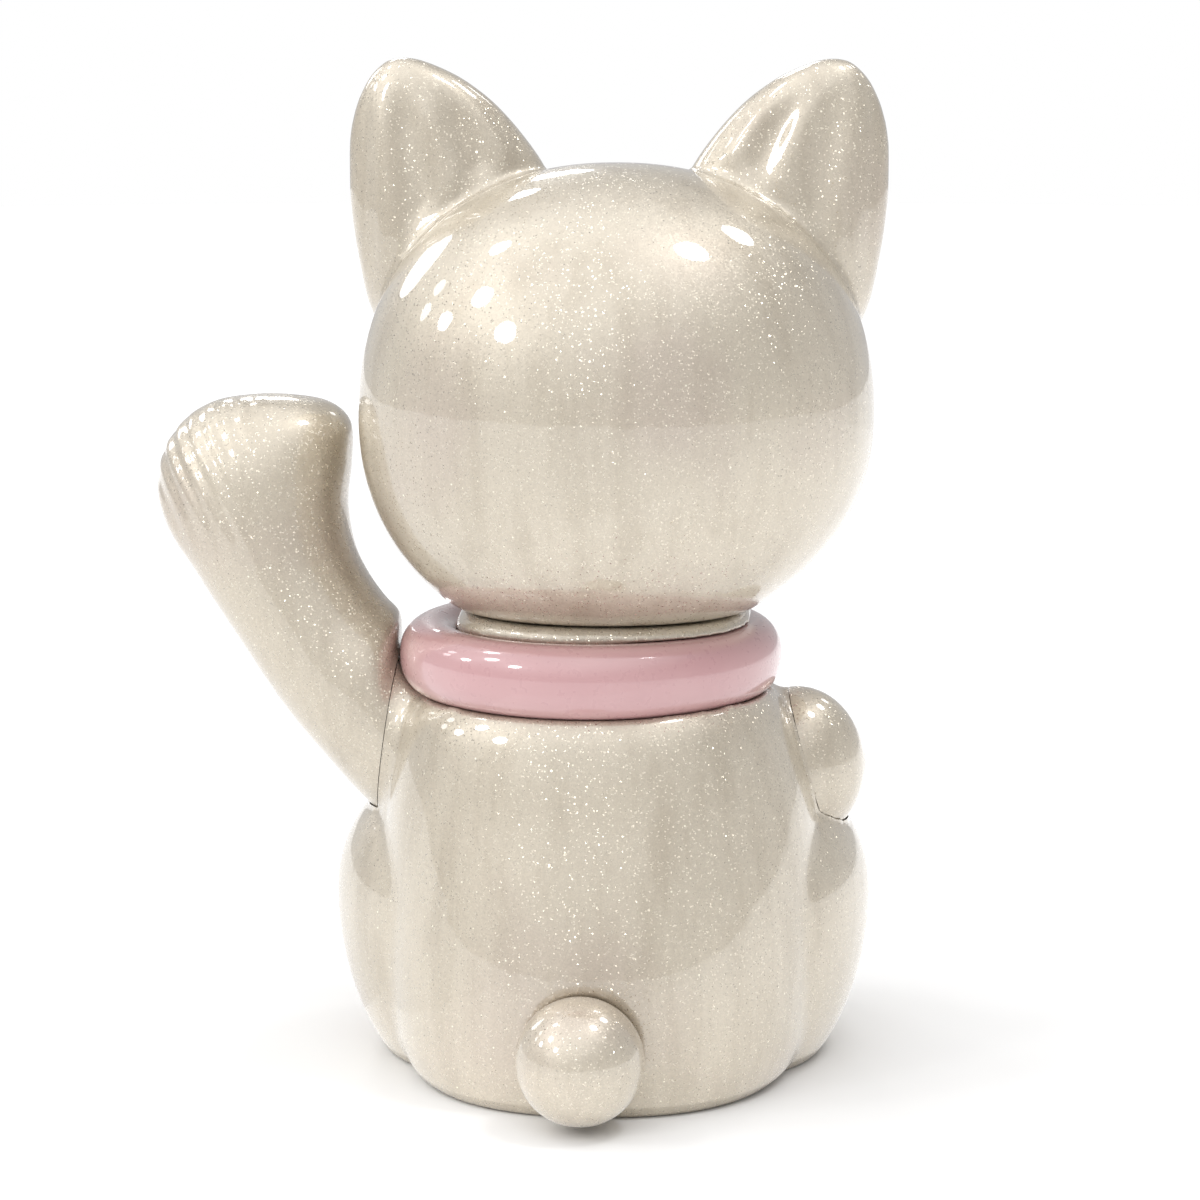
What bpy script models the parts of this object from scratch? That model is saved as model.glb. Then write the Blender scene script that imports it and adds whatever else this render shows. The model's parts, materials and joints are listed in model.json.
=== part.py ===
"""Beckoning cat figurine: a hollow soft-vinyl cat that snaps together at the neck, shoulders and tail.

+Z is up, the cat faces -Y and raises the arm on its +X side. The origin is on the surface that it
stands on, under the middle of the haunches.
"""

import math

import bmesh
import bpy
from mathutils import Matrix, Vector

MM = 0.001
FULL_TURN = 2 * math.pi

# Vinyl and fits
WALL = 2.5 * MM
GAP = 0.35 * MM
CUT_DEPTH = 40 * MM

# Torso: height, centre x, half width, reach to the back, reach to the front
TORSO_KEYS = [
    (-4.0, 0.6, 18.0, 23.0, 18.0),
    (0.0, 0.6, 26.2, 32.0, 25.0),
    (3.5, 0.5, 29.0, 33.0, 28.0),
    (9.0, 0.4, 30.4, 34.0, 30.0),
    (19.0, 0.4, 31.6, 33.8, 30.5),
    (30.0, 0.4, 31.5, 31.8, 27.8),
    (40.0, 0.8, 30.6, 29.4, 24.2),
    (47.5, 1.2, 28.8, 27.0, 22.6),
    (52.6, 1.6, 25.8, 24.4, 21.8),
    (56.4, 2.0, 21.0, 20.6, 20.0),
    (60.4, 1.8, 18.0, 17.6, 17.6),
    (64.4, 1.2, 15.6, 15.0, 15.0),
]
TORSO_POWER = 2.35

# Haunches and hind paws: middle and distance to each side of it
HAUNCH_X = 0.9
HAUNCH_CENTRE = (15.0, -7.0, 24.0)
HAUNCH_RADII = (24.0, 29.0, 20.6)
HAUNCH_DROP = 34.0
FOOT_CENTRE = (20.5, -29.5, 6.0)
FOOT_RADII = (10.5, 12.5, 8.6)

# Neck: one plug on the body, one hole in the head
NECK_X = 0.5
NECK_Y = -0.5
NECK_RADIUS = 13.6
NECK_BEAD_RADIUS = 15.8
NECK_BORE_RADIUS = 11.0

# Head
HEAD_CENTRE = (-1.3, -1.0, 93.9)
HEAD_HALF_WIDTH = 36.7
HEAD_BACK = 32.5
HEAD_FRONT = 31.0
HEAD_RISE = 35.6
HEAD_DROP = 33.3
HEAD_FLOOR = 66.7
HEAD_POWER = 2.2
HEAD_PLAN_POWER = 2.1
JOWL_LEAN = 2.5
MUZZLE_CENTRE = (0.0, -26.5, -8.5)
MUZZLE_RADII = (11.0, 8.0, 7.5)

# Ears, measured from the head's middle: height, outer edge, inner edge, middle y, half thickness
EAR_KEYS = [
    (99.4, 30.6, 18.0, -9.0, 6.0),
    (107.4, 35.6, 12.0, -9.0, 8.5),
    (115.4, 37.6, 9.5, -9.0, 8.8),
    (122.4, 38.6, 9.0, -9.0, 8.2),
    (127.7, 38.8, 10.4, -9.0, 7.4),
    (133.1, 38.6, 14.0, -8.8, 6.3),
    (137.9, 37.4, 18.4, -8.6, 5.2),
    (141.2, 35.8, 22.8, -8.4, 4.0),
    (143.2, 33.8, 27.2, -8.3, 2.6),
    (144.0, 32.4, 29.6, -8.2, 1.2),
]
EAR_SHIFT = {1: 0.0, -1: 0.5}
EAR_POWER = 2.2
EAR_HOLLOW_CENTRE = (25.8, -20.0, 128.4)
EAR_HOLLOW_RADII = (8.5, 7.5, 9.5)

# Collar: middle of the ring, outer radius and the section of its tube
COLLAR_CENTRE = (2.3, 0.0, 59.8)
COLLAR_OUTER = 27.4
COLLAR_HALF_WIDTH = 4.6
COLLAR_HALF_HEIGHT = 5.2
COLLAR_POWER = 2.3

# Shoulder seats: middle, tilt of the seat's outward axis above level, and radius
RAISED_SEAT = (31.4, -3.0, 47.4)
RAISED_TILT = 8.0
RAISED_SEAT_RADIUS = 11.6
RAISED_TURNS = (0.0,)
RESTING_SEAT = (-28.3, -3.0, 45.7)
RESTING_TILT = 16.0
RESTING_SEAT_RADIUS = 9.4
RESTING_TURNS = (0.0, 27.0)

# Snap plugs: stem radius, bead radius, bore radius
RAISED_PLUG = (4.6, 5.3, 2.8)
RESTING_PLUG = (4.4, 5.2, 2.6)
TAIL_PLUG = (3.6, 4.6, 1.8)
SEAT_WALL = 3.0
BEAD_LENGTH = 2.0

# Raised arm: middle x, y, z, tilt of the section below level, half width, half depth
RAISED_KEYS = [
    (31.4, -3.0, 47.6, 82.0, 11.8, 12.0),
    (36.0, -3.4, 54.2, 58.0, 11.1, 11.4),
    (42.0, -4.5, 61.9, 25.0, 10.6, 10.6),
    (47.9, -6.0, 70.6, 7.0, 11.7, 10.8),
    (51.6, -8.0, 78.4, 3.0, 13.5, 12.0),
    (51.6, -9.5, 85.7, 0.0, 13.9, 12.2),
    (50.2, -10.0, 91.2, 0.0, 12.3, 10.0),
    (49.5, -10.0, 94.2, 0.0, 8.4, 6.4),
    (49.5, -10.0, 95.2, 0.0, 2.8, 2.4),
]
ARM_POWER = 2.15
RAISED_PAW_CENTRE = (50.9, -15.5, 83.9)
RAISED_PAW_RADII = (12.4, 10.5, 9.6)

# Resting arm: a round shoulder, then a forearm of middle x, y, z and radius
RESTING_SHOULDER_CENTRE = (-27.3, -4.6, 43.4)
RESTING_SHOULDER_RADII = (9.8, 9.8, 11.6)
RESTING_KEYS = [
    (-29.0, 0.6, 43.0, 4.0),
    (-29.2, -1.6, 42.8, 7.0),
    (-29.2, -6.0, 42.4, 8.2),
    (-28.4, -13.0, 41.0, 8.2),
    (-25.4, -21.5, 38.8, 7.9),
    (-20.6, -29.0, 36.6, 8.0),
    (-15.0, -34.2, 35.2, 8.4),
    (-11.0, -36.8, 34.4, 7.2),
    (-8.2, -38.2, 34.0, 4.2),
    (-7.2, -38.7, 33.8, 1.2),
]

# Tail ball
TAIL_CENTRE = (1.4, 38.0, 9.8)
TAIL_RADIUS = 8.9
TAIL_BOSS_RADIUS = 11.7

# Bell: it hangs from a lug under the front of the collar
BELL_X = 2.3
BELL_Y = -30.2
LUG_HOLE_Z = 52.6
LUG_HALF_WIDTH = 2.0
LUG_HALF_THICKNESS = 0.5
LUG_RIM = 1.6
LUG_ROOT_Y = -24.0
LUG_ROOT_DROP = 5.0
LUG_ROOT_HEIGHT = 3.2
LINK_RADIUS = 2.2
LINK_WIRE = 0.42
BELL_RADIUS = 4.6
BELL_WALL = 0.5
BELL_RIM = 0.5
EYE_HOLE_RADIUS = 0.95
EYE_RIM = 1.6
EYE_SINK = 0.3
PELLET_RADIUS = 1.5
SLOT_WIDTH = 1.2
SLOT_HALF_LENGTH = 3.4
SLOT_TOP = 1.4


def clear_scene():
    for old in list(bpy.data.objects):
        bpy.data.objects.remove(old)


def vector(values):
    return Vector(values) * MM


def on_side(place, side):
    """A place given for the +X side, or its mirror image for side -1."""
    return (side * place[0], place[1], place[2])


def material(name, colour, roughness, metallic):
    made = bpy.data.materials.new(name)
    made.use_nodes = True
    shader = made.node_tree.nodes["Principled BSDF"]
    shader.inputs["Base Color"].default_value = (*colour, 1.0)
    shader.inputs["Roughness"].default_value = roughness
    shader.inputs["Metallic"].default_value = metallic
    return made


def add_object(name, shape, finish=None, pivot=Vector()):
    """Turn a bmesh in world metres into an object whose origin is at pivot."""
    mesh = bpy.data.meshes.new(name)
    shape.transform(Matrix.Translation(-pivot))
    shape.to_mesh(mesh)
    shape.free()
    mesh.shade_smooth()
    mesh.set_sharp_from_angle(angle=math.radians(35))
    made = bpy.data.objects.new(name, mesh)
    made.location = pivot
    bpy.context.scene.collection.objects.link(made)
    if finish:
        mesh.materials.append(finish)
    return made


def add_tool(name, shape):
    """A hidden solid that only shapes other objects."""
    made = add_object(name, shape)
    made.hide_render = True
    made.display_type = "WIRE"
    return made


def combine(target, tool, operation):
    step = target.modifiers.new(tool.name, "BOOLEAN")
    step.object = tool
    step.operation = operation
    step.solver = "EXACT"


def cut(target, tool):
    combine(target, tool, "DIFFERENCE")


def join(target, tool):
    combine(target, tool, "UNION")


def eased(keys, steps):
    """Rows on one smooth curve through the key rows, with steps rows for each key."""
    rows = []
    ends = [keys[0], *keys, keys[-1]]
    for before, start, end, after in zip(ends, ends[1:], ends[2:], ends[3:]):
        for i in range(steps):
            t = i / steps
            rows.append(
                [
                    b
                    + 0.5 * (c - a) * t
                    + 0.5 * (2 * a - 5 * b + 4 * c - d) * t**2
                    + 0.5 * (3 * b - a - 3 * c + d) * t**3
                    for a, b, c, d in zip(before, start, end, after)
                ]
            )
    rows.append(list(keys[-1]))
    return rows


def oval(centre, side, back, front, power, count):
    """A closed ring of points: a superellipse with its own reach to the back and to the front."""
    ring = []
    for i in range(count):
        angle = FULL_TURN * i / count
        across = math.copysign(abs(math.cos(angle)) ** (2 / power), math.cos(angle))
        along = abs(math.sin(angle)) ** (2 / power)
        reach = back if math.sin(angle) > 0 else front
        ring.append(centre + side * across + reach * along)
    return ring


def skin(rings):
    """Join closed rings of equal point counts in their order, and close the first and the last."""
    shape = bmesh.new()
    loops = [[shape.verts.new(point) for point in ring] for ring in rings]
    for lower, upper in zip(loops, loops[1:]):
        for a, b, c, d in zip(lower, lower[1:] + lower[:1], upper[1:] + upper[:1], upper):
            shape.faces.new((a, b, c, d))
    shape.faces.new(loops[0])
    shape.faces.new(loops[-1])
    bmesh.ops.recalc_face_normals(shape, faces=shape.faces)
    return shape


def ball(centre, radii, segments, drop=None):
    """An ellipsoid, whose lower half may be deeper than its upper half."""
    shape = bmesh.new()
    bmesh.ops.create_uvsphere(shape, u_segments=segments, v_segments=segments // 2, radius=1.0)
    for vert in shape.verts:
        height = radii[2] if vert.co.z > 0 or drop is None else drop
        vert.co = vector(centre) + vector((vert.co.x * radii[0], vert.co.y * radii[1], vert.co.z * height))
    return shape


def cylinder(start, end, radius, segments):
    """A closed cylinder from start to end, all in metres."""
    shape = bmesh.new()
    run = end - start
    place = Matrix.Translation((start + end) / 2) @ run.to_track_quat("Z", "Y").to_matrix().to_4x4()
    bmesh.ops.create_cone(
        shape,
        cap_ends=True,
        segments=segments,
        radius1=radius,
        radius2=radius,
        depth=run.length,
        matrix=place,
    )
    return shape


def block(low, high):
    """A box between two corners given in millimetres."""
    shape = bmesh.new()
    low, high = vector(low), vector(high)
    size = Matrix.Diagonal((*(high - low), 1.0))
    bmesh.ops.create_cube(shape, size=1.0, matrix=Matrix.Translation((low + high) / 2) @ size)
    return shape


def turned(axis_point, axis, profile, segments):
    """A closed solid turned round an axis from (distance along, radius) pairs in metres."""
    frame = axis.to_track_quat("Z", "Y").to_matrix()
    rings = []
    for along, radius in profile:
        middle = axis_point + axis * along
        side = frame.col[0] * radius
        rise = frame.col[1] * radius
        rings.append(oval(middle, side, rise, -rise, 2, segments))
    return skin(rings)


def torus(centre, axis, radius, half_width, half_height, power, around, across):
    """A closed ring whose tube is a superellipse, half_width outward and half_height along the axis."""
    shape = bmesh.new()
    frame = axis.to_track_quat("Z", "Y").to_matrix()
    profile = oval(
        Vector((radius, 0, 0)),
        Vector((half_width, 0, 0)),
        Vector((0, 0, half_height)),
        Vector((0, 0, -half_height)),
        power,
        across,
    )
    verts = [shape.verts.new(point) for point in profile]
    edges = [shape.edges.new(pair) for pair in zip(verts, verts[1:] + verts[:1])]
    bmesh.ops.spin(
        shape,
        geom=verts + edges,
        cent=(0, 0, 0),
        axis=(0, 0, 1),
        angle=FULL_TURN,
        steps=around,
        use_merge=True,
    )
    bmesh.ops.recalc_face_normals(shape, faces=shape.faces)
    shape.transform(Matrix.Translation(centre) @ frame.to_4x4())
    return shape


def seat_axis(side, tilt):
    """The outward axis of a shoulder seat on the side +1 or -1."""
    angle = math.radians(tilt)
    return Vector((side * math.cos(angle), 0, math.sin(angle)))


def torso(rows_per_key, count, inset=0.0):
    rings = []
    for height, x, half_width, back, front in eased(TORSO_KEYS, rows_per_key):
        rings.append(
            oval(
                vector((x, 0, height)),
                vector((half_width - inset, 0, 0)),
                vector((0, back - inset, 0)),
                vector((0, inset - front, 0)),
                TORSO_POWER,
                count,
            )
        )
    return rings


def haunch_shape(side, grow=0.0):
    x, y, z = HAUNCH_CENTRE
    radii = [radius + grow for radius in HAUNCH_RADII]
    return ball((HAUNCH_X + side * x, y, z), radii, 24, HAUNCH_DROP + grow)


def plug(seat, axis, plug_sizes, segments):
    """Stem and bead of a snap plug that reaches inward from a seat."""
    stem, bead, _ = (size * MM for size in plug_sizes)
    bead_start = SEAT_WALL * MM + GAP
    bead_end = bead_start + BEAD_LENGTH * MM
    profile = [
        (WALL, stem),
        (-bead_start, stem),
        (-bead_start - 0.3 * MM, bead),
        (-bead_end + 0.8 * MM, bead),
        (-bead_end, stem),
    ]
    return turned(seat, axis, profile, segments)


def add_body(finish):
    body = add_object("body_shell", skin(torso(1, 40)), finish)
    for side, label in ((1, "left"), (-1, "right")):
        join(body, add_tool(f"haunch_{label}", haunch_shape(side)))
        foot = ball(on_side(FOOT_CENTRE, side), FOOT_RADII, 16)
        join(body, add_tool(f"hind_paw_{label}", foot))
    seats = (
        ("raised", RAISED_SEAT, seat_axis(1, RAISED_TILT), RAISED_SEAT_RADIUS, RAISED_PLUG),
        ("resting", RESTING_SEAT, seat_axis(-1, RESTING_TILT), RESTING_SEAT_RADIUS, RESTING_PLUG),
    )
    cavity = add_cavity(seats)
    for name, middle, axis, radius, _ in seats:
        seat = vector(middle)
        boss = cylinder(seat - axis * 14 * MM, seat, (radius - 0.6) * MM, 36)
        join(body, add_tool(f"{name}_shoulder_boss", boss))
    for name, middle, axis, radius, _ in seats:
        seat = vector(middle)
        face = cylinder(seat, seat + axis * CUT_DEPTH, (radius + 0.5) * MM, 36)
        cut(body, add_tool(f"{name}_shoulder_face", face))
    cut(body, cavity)
    for name, middle, axis, _, plug_sizes in seats:
        seat = vector(middle)
        hole = cylinder(seat - axis * 8 * MM, seat + axis * MM, plug_sizes[0] * MM + GAP, 28)
        cut(body, add_tool(f"{name}_shoulder_hole", hole))
        pocket_start = seat - axis * (SEAT_WALL - 0.15) * MM
        pocket = cylinder(pocket_start - axis * 5.4 * MM, pocket_start, (plug_sizes[1] + 0.6) * MM, 24)
        cut(body, add_tool(f"{name}_bead_pocket", pocket))
    add_neck(body)
    add_tail_socket(body)
    below = block((-80, -80, -40), (80, 80, 0))
    cut(body, add_tool("standing_plane", below))
    return body


def add_cavity(seats):
    """The hollow inside the torso, held back where the shoulder and tail plugs need a wall."""
    rows = [row for row in torso(1, 24, inset=WALL / MM)][1:-1]
    lift = Vector((0, 0, WALL))
    rows[0] = [point + lift for point in rows[0]]
    cavity = add_tool("torso_cavity", skin(rows))
    for name, middle, axis, radius, _ in seats:
        seat = vector(middle)
        wall = cylinder(seat - axis * SEAT_WALL * MM, seat + axis * CUT_DEPTH, (radius + 3) * MM, 24)
        cut(cavity, add_tool(f"{name}_shoulder_wall", wall))
    cut(cavity, add_tool("tail_wall", ball(TAIL_CENTRE, (TAIL_BOSS_RADIUS,) * 3, 24)))
    return cavity


def add_neck(body):
    """The neck plug: a stem with a bead, bored through into the torso."""
    axis = Vector((0, 0, 1))
    foot = vector((NECK_X, NECK_Y, 0))
    floor = HEAD_FLOOR * MM
    bead_start = floor + WALL + GAP
    stem = NECK_RADIUS * MM
    bead = NECK_BEAD_RADIUS * MM
    profile = [
        (floor - 10 * MM, stem),
        (bead_start, stem),
        (bead_start + 0.5 * MM, bead),
        (bead_start + 1.8 * MM, bead),
        (bead_start + 3.0 * MM, stem),
    ]
    join(body, add_tool("neck_plug", turned(foot, axis, profile, 40)))
    bore_start = foot + axis * (floor - 16 * MM)
    bore_end = foot + axis * (floor + 20 * MM)
    cut(body, add_tool("neck_bore", cylinder(bore_start, bore_end, NECK_BORE_RADIUS * MM, 32)))
    cut(body, add_tool("collar_groove", collar_shape(GAP / MM)))


def add_tail_socket(body):
    socket = ball(TAIL_CENTRE, (TAIL_RADIUS + GAP / MM,) * 3, 22)
    cut(body, add_tool("tail_socket", socket))
    middle = vector(TAIL_CENTRE)
    back = Vector((0, 1, 0))
    hole = cylinder(middle - back * 16 * MM, middle, TAIL_PLUG[0] * MM + GAP, 20)
    cut(body, add_tool("tail_hole", hole))


def head_rings(inset, floor, rows, count):
    """Level rings of the head from its floor to its crown."""
    rings = []
    rise = HEAD_RISE - inset
    drop = HEAD_DROP - inset
    lowest = math.asin(((HEAD_CENTRE[2] - floor) / drop) ** (HEAD_POWER / 2))
    for i in range(rows):
        angle = -lowest + (math.pi / 2 * 0.985 + lowest) * i / (rows - 1)
        up = abs(math.sin(angle)) ** (2 / HEAD_POWER)
        height = rise * up if angle > 0 else -drop * up
        scale = math.cos(angle) ** (2 / HEAD_POWER)
        lean = JOWL_LEAN * min(height / drop, 0) ** 2
        rings.append(
            oval(
                vector(HEAD_CENTRE) + vector((lean, 0, height)),
                vector(((HEAD_HALF_WIDTH - inset) * scale - lean, 0, 0)),
                vector((0, (HEAD_BACK - inset) * scale, 0)),
                vector((0, (inset - HEAD_FRONT) * scale, 0)),
                HEAD_PLAN_POWER,
                count,
            )
        )
    return rings


def ear_rings(side, rows_per_key, count):
    rings = []
    for height, outer, inner, y, half_thickness in eased(EAR_KEYS, rows_per_key):
        middle = HEAD_CENTRE[0] + side * (outer + inner) / 2 + EAR_SHIFT[side]
        half_width = (outer - inner) / 2
        rings.append(
            oval(
                vector((middle, y, height)),
                vector((half_width, 0, 0)),
                vector((0, half_thickness, 0)),
                vector((0, -half_thickness, 0)),
                EAR_POWER,
                count,
            )
        )
    return rings


def add_head(finish):
    pivot = vector((NECK_X, NECK_Y, HEAD_FLOOR))
    head = add_object("head_shell", skin(head_rings(0.0, HEAD_FLOOR, 15, 40)), finish, pivot)
    muzzle_middle = Vector(HEAD_CENTRE) + Vector(MUZZLE_CENTRE)
    join(head, add_tool("muzzle", ball(muzzle_middle, MUZZLE_RADII, 14)))
    for side, label in ((1, "left"), (-1, "right")):
        ear = add_tool(f"ear_{label}", skin(ear_rings(side, 1, 18)))
        x, y, z = EAR_HOLLOW_CENTRE
        hollow_middle = (HEAD_CENTRE[0] + side * x + EAR_SHIFT[side], y, z)
        cut(ear, add_tool(f"ear_hollow_{label}", ball(hollow_middle, EAR_HOLLOW_RADII, 16)))
        join(head, ear)
    cavity = skin(head_rings(WALL / MM, HEAD_FLOOR + WALL / MM, 8, 20))
    cut(head, add_tool("head_cavity", cavity))
    through = Vector((0, 0, 2 * WALL))
    hole = cylinder(pivot - through, pivot + through, NECK_RADIUS * MM + GAP, 40)
    cut(head, add_tool("neck_hole", hole))
    return head


def raised_rings(rows_per_key, count, inset=0.0, keys=None):
    rings = []
    for x, y, z, tilt, half_width, half_depth in eased(keys or RAISED_KEYS, rows_per_key):
        angle = math.radians(tilt)
        across = Vector((math.cos(angle), 0, -math.sin(angle)))
        rings.append(
            oval(
                vector((x, y, z)),
                across * (half_width - inset) * MM,
                vector((0, half_depth - inset, 0)),
                vector((0, inset - half_depth, 0)),
                ARM_POWER,
                count,
            )
        )
    return rings


def add_raised_arm(finish):
    axis = seat_axis(1, RAISED_TILT)
    seat = vector(RAISED_SEAT)
    arm = add_object("raised_arm_shell", skin(raised_rings(1, 26)), finish, seat)
    join(arm, add_tool("raised_paw", ball(RAISED_PAW_CENTRE, RAISED_PAW_RADII, 18)))
    clear_of_torso(arm, "raised", 1, seat, axis, RAISED_SEAT_RADIUS * MM, RAISED_TURNS)
    inner = raised_rings(1, 12, inset=WALL / MM)[1:-2]
    cavity = add_tool("raised_cavity", skin(inner))
    cut(arm, cavity)
    trim = cylinder(seat - axis * 20 * MM, seat + axis * GAP, 30 * MM, 24)
    cut(arm, add_tool("raised_trim", trim))
    join(arm, add_tool("raised_plug", plug(seat, axis, RAISED_PLUG, 28)))
    bore = cylinder(seat - axis * 12 * MM, seat + axis * 9 * MM, RAISED_PLUG[2] * MM, 16)
    cut(arm, add_tool("raised_bore", bore))
    return arm


def path_rings(keys, rows_per_key, count, inset=0.0):
    """Round rings square to a smooth path of x, y, z and radius rows."""
    rows = eased(keys, rows_per_key)
    middles = [vector(row[:3]) for row in rows]
    rings = []
    for i, row in enumerate(rows):
        ahead = middles[min(i + 1, len(rows) - 1)]
        behind = middles[max(i - 1, 0)]
        run = (ahead - behind).normalized()
        side = run.cross(Vector((0, 0, 1))).normalized()
        rise = side.cross(run)
        radius = (row[3] - inset) * MM
        rings.append(oval(middles[i], side * radius, rise * radius, -rise * radius, 2, count))
    return rings


def clear_of_torso(arm, name, side, seat, axis, radius, turns):
    """Pare the arm where the torso and haunch would touch it, at each turn of the arm about its seat."""
    for i, degrees in enumerate(turns):
        turn = Matrix.Rotation(math.radians(-degrees), 4, axis)
        place = Matrix.Translation(seat) @ turn @ Matrix.Translation(-seat)
        flank = skin(torso(1, 40, inset=-GAP / MM))
        flank.transform(place)
        flank_tool = add_tool(f"{name}_flank_{i}", flank)
        haunch = haunch_shape(side, GAP / MM)
        haunch.transform(place)
        join(flank_tool, add_tool(f"{name}_haunch_{i}", haunch))
        seat_round = cylinder(seat - axis * CUT_DEPTH / 4, seat + axis * CUT_DEPTH, radius + 0.2 * MM, 36)
        cut(flank_tool, add_tool(f"{name}_seat_{i}", seat_round))
        cut(arm, flank_tool)


def add_resting_arm(finish):
    """The bent arm, hollowed towards the torso so that it clears the belly as it lifts."""
    axis = seat_axis(-1, RESTING_TILT)
    seat = vector(RESTING_SEAT)
    arm = add_object("resting_arm_shell", skin(path_rings(RESTING_KEYS, 1, 24)), finish, seat)
    shoulder = ball(RESTING_SHOULDER_CENTRE, RESTING_SHOULDER_RADII, 20)
    join(arm, add_tool("resting_shoulder", shoulder))
    clear_of_torso(arm, "resting", -1, seat, axis, RESTING_SEAT_RADIUS * MM, RESTING_TURNS)
    inner = path_rings(RESTING_KEYS, 1, 10, inset=WALL / MM)[1:-2]
    cut(arm, add_tool("resting_cavity", skin(inner)))
    trim = cylinder(seat - axis * 24 * MM, seat + axis * GAP, 14 * MM, 24)
    cut(arm, add_tool("resting_trim", trim))
    join(arm, add_tool("resting_plug", plug(seat, axis, RESTING_PLUG, 28)))
    bore = cylinder(seat - axis * 12 * MM, seat + axis * 5 * MM, RESTING_PLUG[2] * MM, 16)
    cut(arm, add_tool("resting_bore", bore))
    return arm


def add_tail(finish):
    middle = vector(TAIL_CENTRE)
    back = Vector((0, 1, 0))
    tail = add_object("tail_ball", ball(TAIL_CENTRE, (TAIL_RADIUS,) * 3, 22), finish, middle)
    hollow = ball(TAIL_CENTRE, (TAIL_RADIUS - WALL / MM,) * 3, 10)
    cut(tail, add_tool("tail_cavity", hollow))
    stem, bead, bore = (size * MM for size in TAIL_PLUG)
    start = TAIL_RADIUS * MM
    bead_start = TAIL_BOSS_RADIUS * MM + GAP
    profile = [
        (-start + 1.5 * MM, stem),
        (-bead_start, stem),
        (-bead_start - 0.3 * MM, bead),
        (-bead_start - 1.2 * MM, bead),
        (-bead_start - 1.8 * MM, stem),
    ]
    join(tail, add_tool("tail_plug", turned(middle, back, profile, 20)))
    hole = cylinder(middle - back * 20 * MM, middle - back * 4 * MM, bore, 12)
    cut(tail, add_tool("tail_bore", hole))
    return tail


def collar_shape(grow=0.0):
    return torus(
        vector(COLLAR_CENTRE),
        Vector((0, 0, 1)),
        (COLLAR_OUTER - COLLAR_HALF_WIDTH) * MM,
        (COLLAR_HALF_WIDTH + grow) * MM,
        (COLLAR_HALF_HEIGHT + grow) * MM,
        COLLAR_POWER,
        40,
        10,
    )


def add_collar(finish):
    """The ring, with a lug under its front that carries the bell."""
    collar = add_object("collar_ring", collar_shape(), finish)
    left = BELL_X - LUG_HALF_WIDTH
    right = BELL_X + LUG_HALF_WIDTH
    front = BELL_Y - LUG_HALF_THICKNESS
    back = BELL_Y + LUG_HALF_THICKNESS
    root_low = COLLAR_CENTRE[2] - LUG_ROOT_DROP
    root = block((left, front, root_low), (right, LUG_ROOT_Y, root_low + LUG_ROOT_HEIGHT))
    join(collar, add_tool("lug_root", root))
    plate = block((left, front, LUG_HOLE_Z - LUG_RIM), (right, back, root_low + LUG_ROOT_HEIGHT / 2))
    join(collar, add_tool("lug_plate", plate))
    middle = vector((BELL_X, BELL_Y, LUG_HOLE_Z))
    reach = Vector((0, 3 * MM, 0))
    hole = cylinder(middle - reach, middle + reach, EYE_HOLE_RADIUS * MM, 16)
    cut(collar, add_tool("lug_hole", hole))
    return collar


def bell_heights():
    """Heights of the link's middle, the eye's hole and the bell's middle."""
    link = LUG_HOLE_Z - LINK_RADIUS
    eye = link - LINK_RADIUS
    return link, eye, eye - EYE_RIM - BELL_RADIUS


def half_bell(middle, way, segments):
    """One stamped half of the bell with its rim, open towards the other half."""
    outer = BELL_RADIUS * MM
    inner = outer - BELL_WALL * MM
    rim = outer + BELL_RIM * MM
    lip = 0.1 * MM
    thick = 0.6 * MM
    steps = 5
    near_pole = math.radians(86)
    profile = []
    for i in range(steps):
        angle = near_pole * (1 - i / steps)
        profile.append((outer * math.sin(angle), outer * math.cos(angle)))
    profile += [(thick, outer), (thick, rim), (lip, rim), (lip, inner)]
    for i in range(1, steps + 1):
        angle = near_pole * i / steps
        profile.append((inner * math.sin(angle), inner * math.cos(angle)))
    return turned(middle, Vector((0, 0, way)), profile, segments)


def add_bell(finish):
    """Link, two halves and the pellet, all hanging from the hole in the lug."""
    link_z, eye_z, bell_z = bell_heights()
    pivot = vector((BELL_X, BELL_Y, LUG_HOLE_Z))
    middle = vector((BELL_X, BELL_Y, bell_z))
    wire = LINK_WIRE * MM
    link_middle = vector((BELL_X, BELL_Y, link_z))
    ring = torus(link_middle, Vector((1, 0, 0)), LINK_RADIUS * MM, wire, wire, 2, 24, 8)
    add_object("bell_link", ring, finish, pivot)
    upper = add_object("bell_upper_half", half_bell(middle, 1, 20), finish, pivot)
    eye_low = (BELL_X - EYE_RIM, BELL_Y - LUG_HALF_THICKNESS, bell_z + BELL_RADIUS - EYE_SINK)
    eye_high = (BELL_X + EYE_RIM, BELL_Y + LUG_HALF_THICKNESS, eye_z + EYE_RIM)
    join(upper, add_tool("bell_eye", block(eye_low, eye_high)))
    reach = Vector((0, 3 * MM, 0))
    eye_middle = vector((BELL_X, BELL_Y, eye_z))
    eye_hole = cylinder(eye_middle - reach, eye_middle + reach, EYE_HOLE_RADIUS * MM, 16)
    cut(upper, add_tool("bell_eye_hole", eye_hole))
    lower = add_object("bell_lower_half", half_bell(middle, -1, 20), finish, pivot)
    slot_low = (BELL_X - SLOT_HALF_LENGTH, BELL_Y - SLOT_WIDTH / 2, bell_z - 2 * BELL_RADIUS)
    slot_high = (BELL_X + SLOT_HALF_LENGTH, BELL_Y + SLOT_WIDTH / 2, bell_z - SLOT_TOP)
    cut(lower, add_tool("bell_slot", block(slot_low, slot_high)))
    pellet_z = bell_z - BELL_RADIUS + BELL_WALL + PELLET_RADIUS + 0.3
    pellet = ball((BELL_X, BELL_Y, pellet_z), (PELLET_RADIUS,) * 3, 12)
    add_object("bell_pellet", pellet, finish, pivot)


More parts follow.
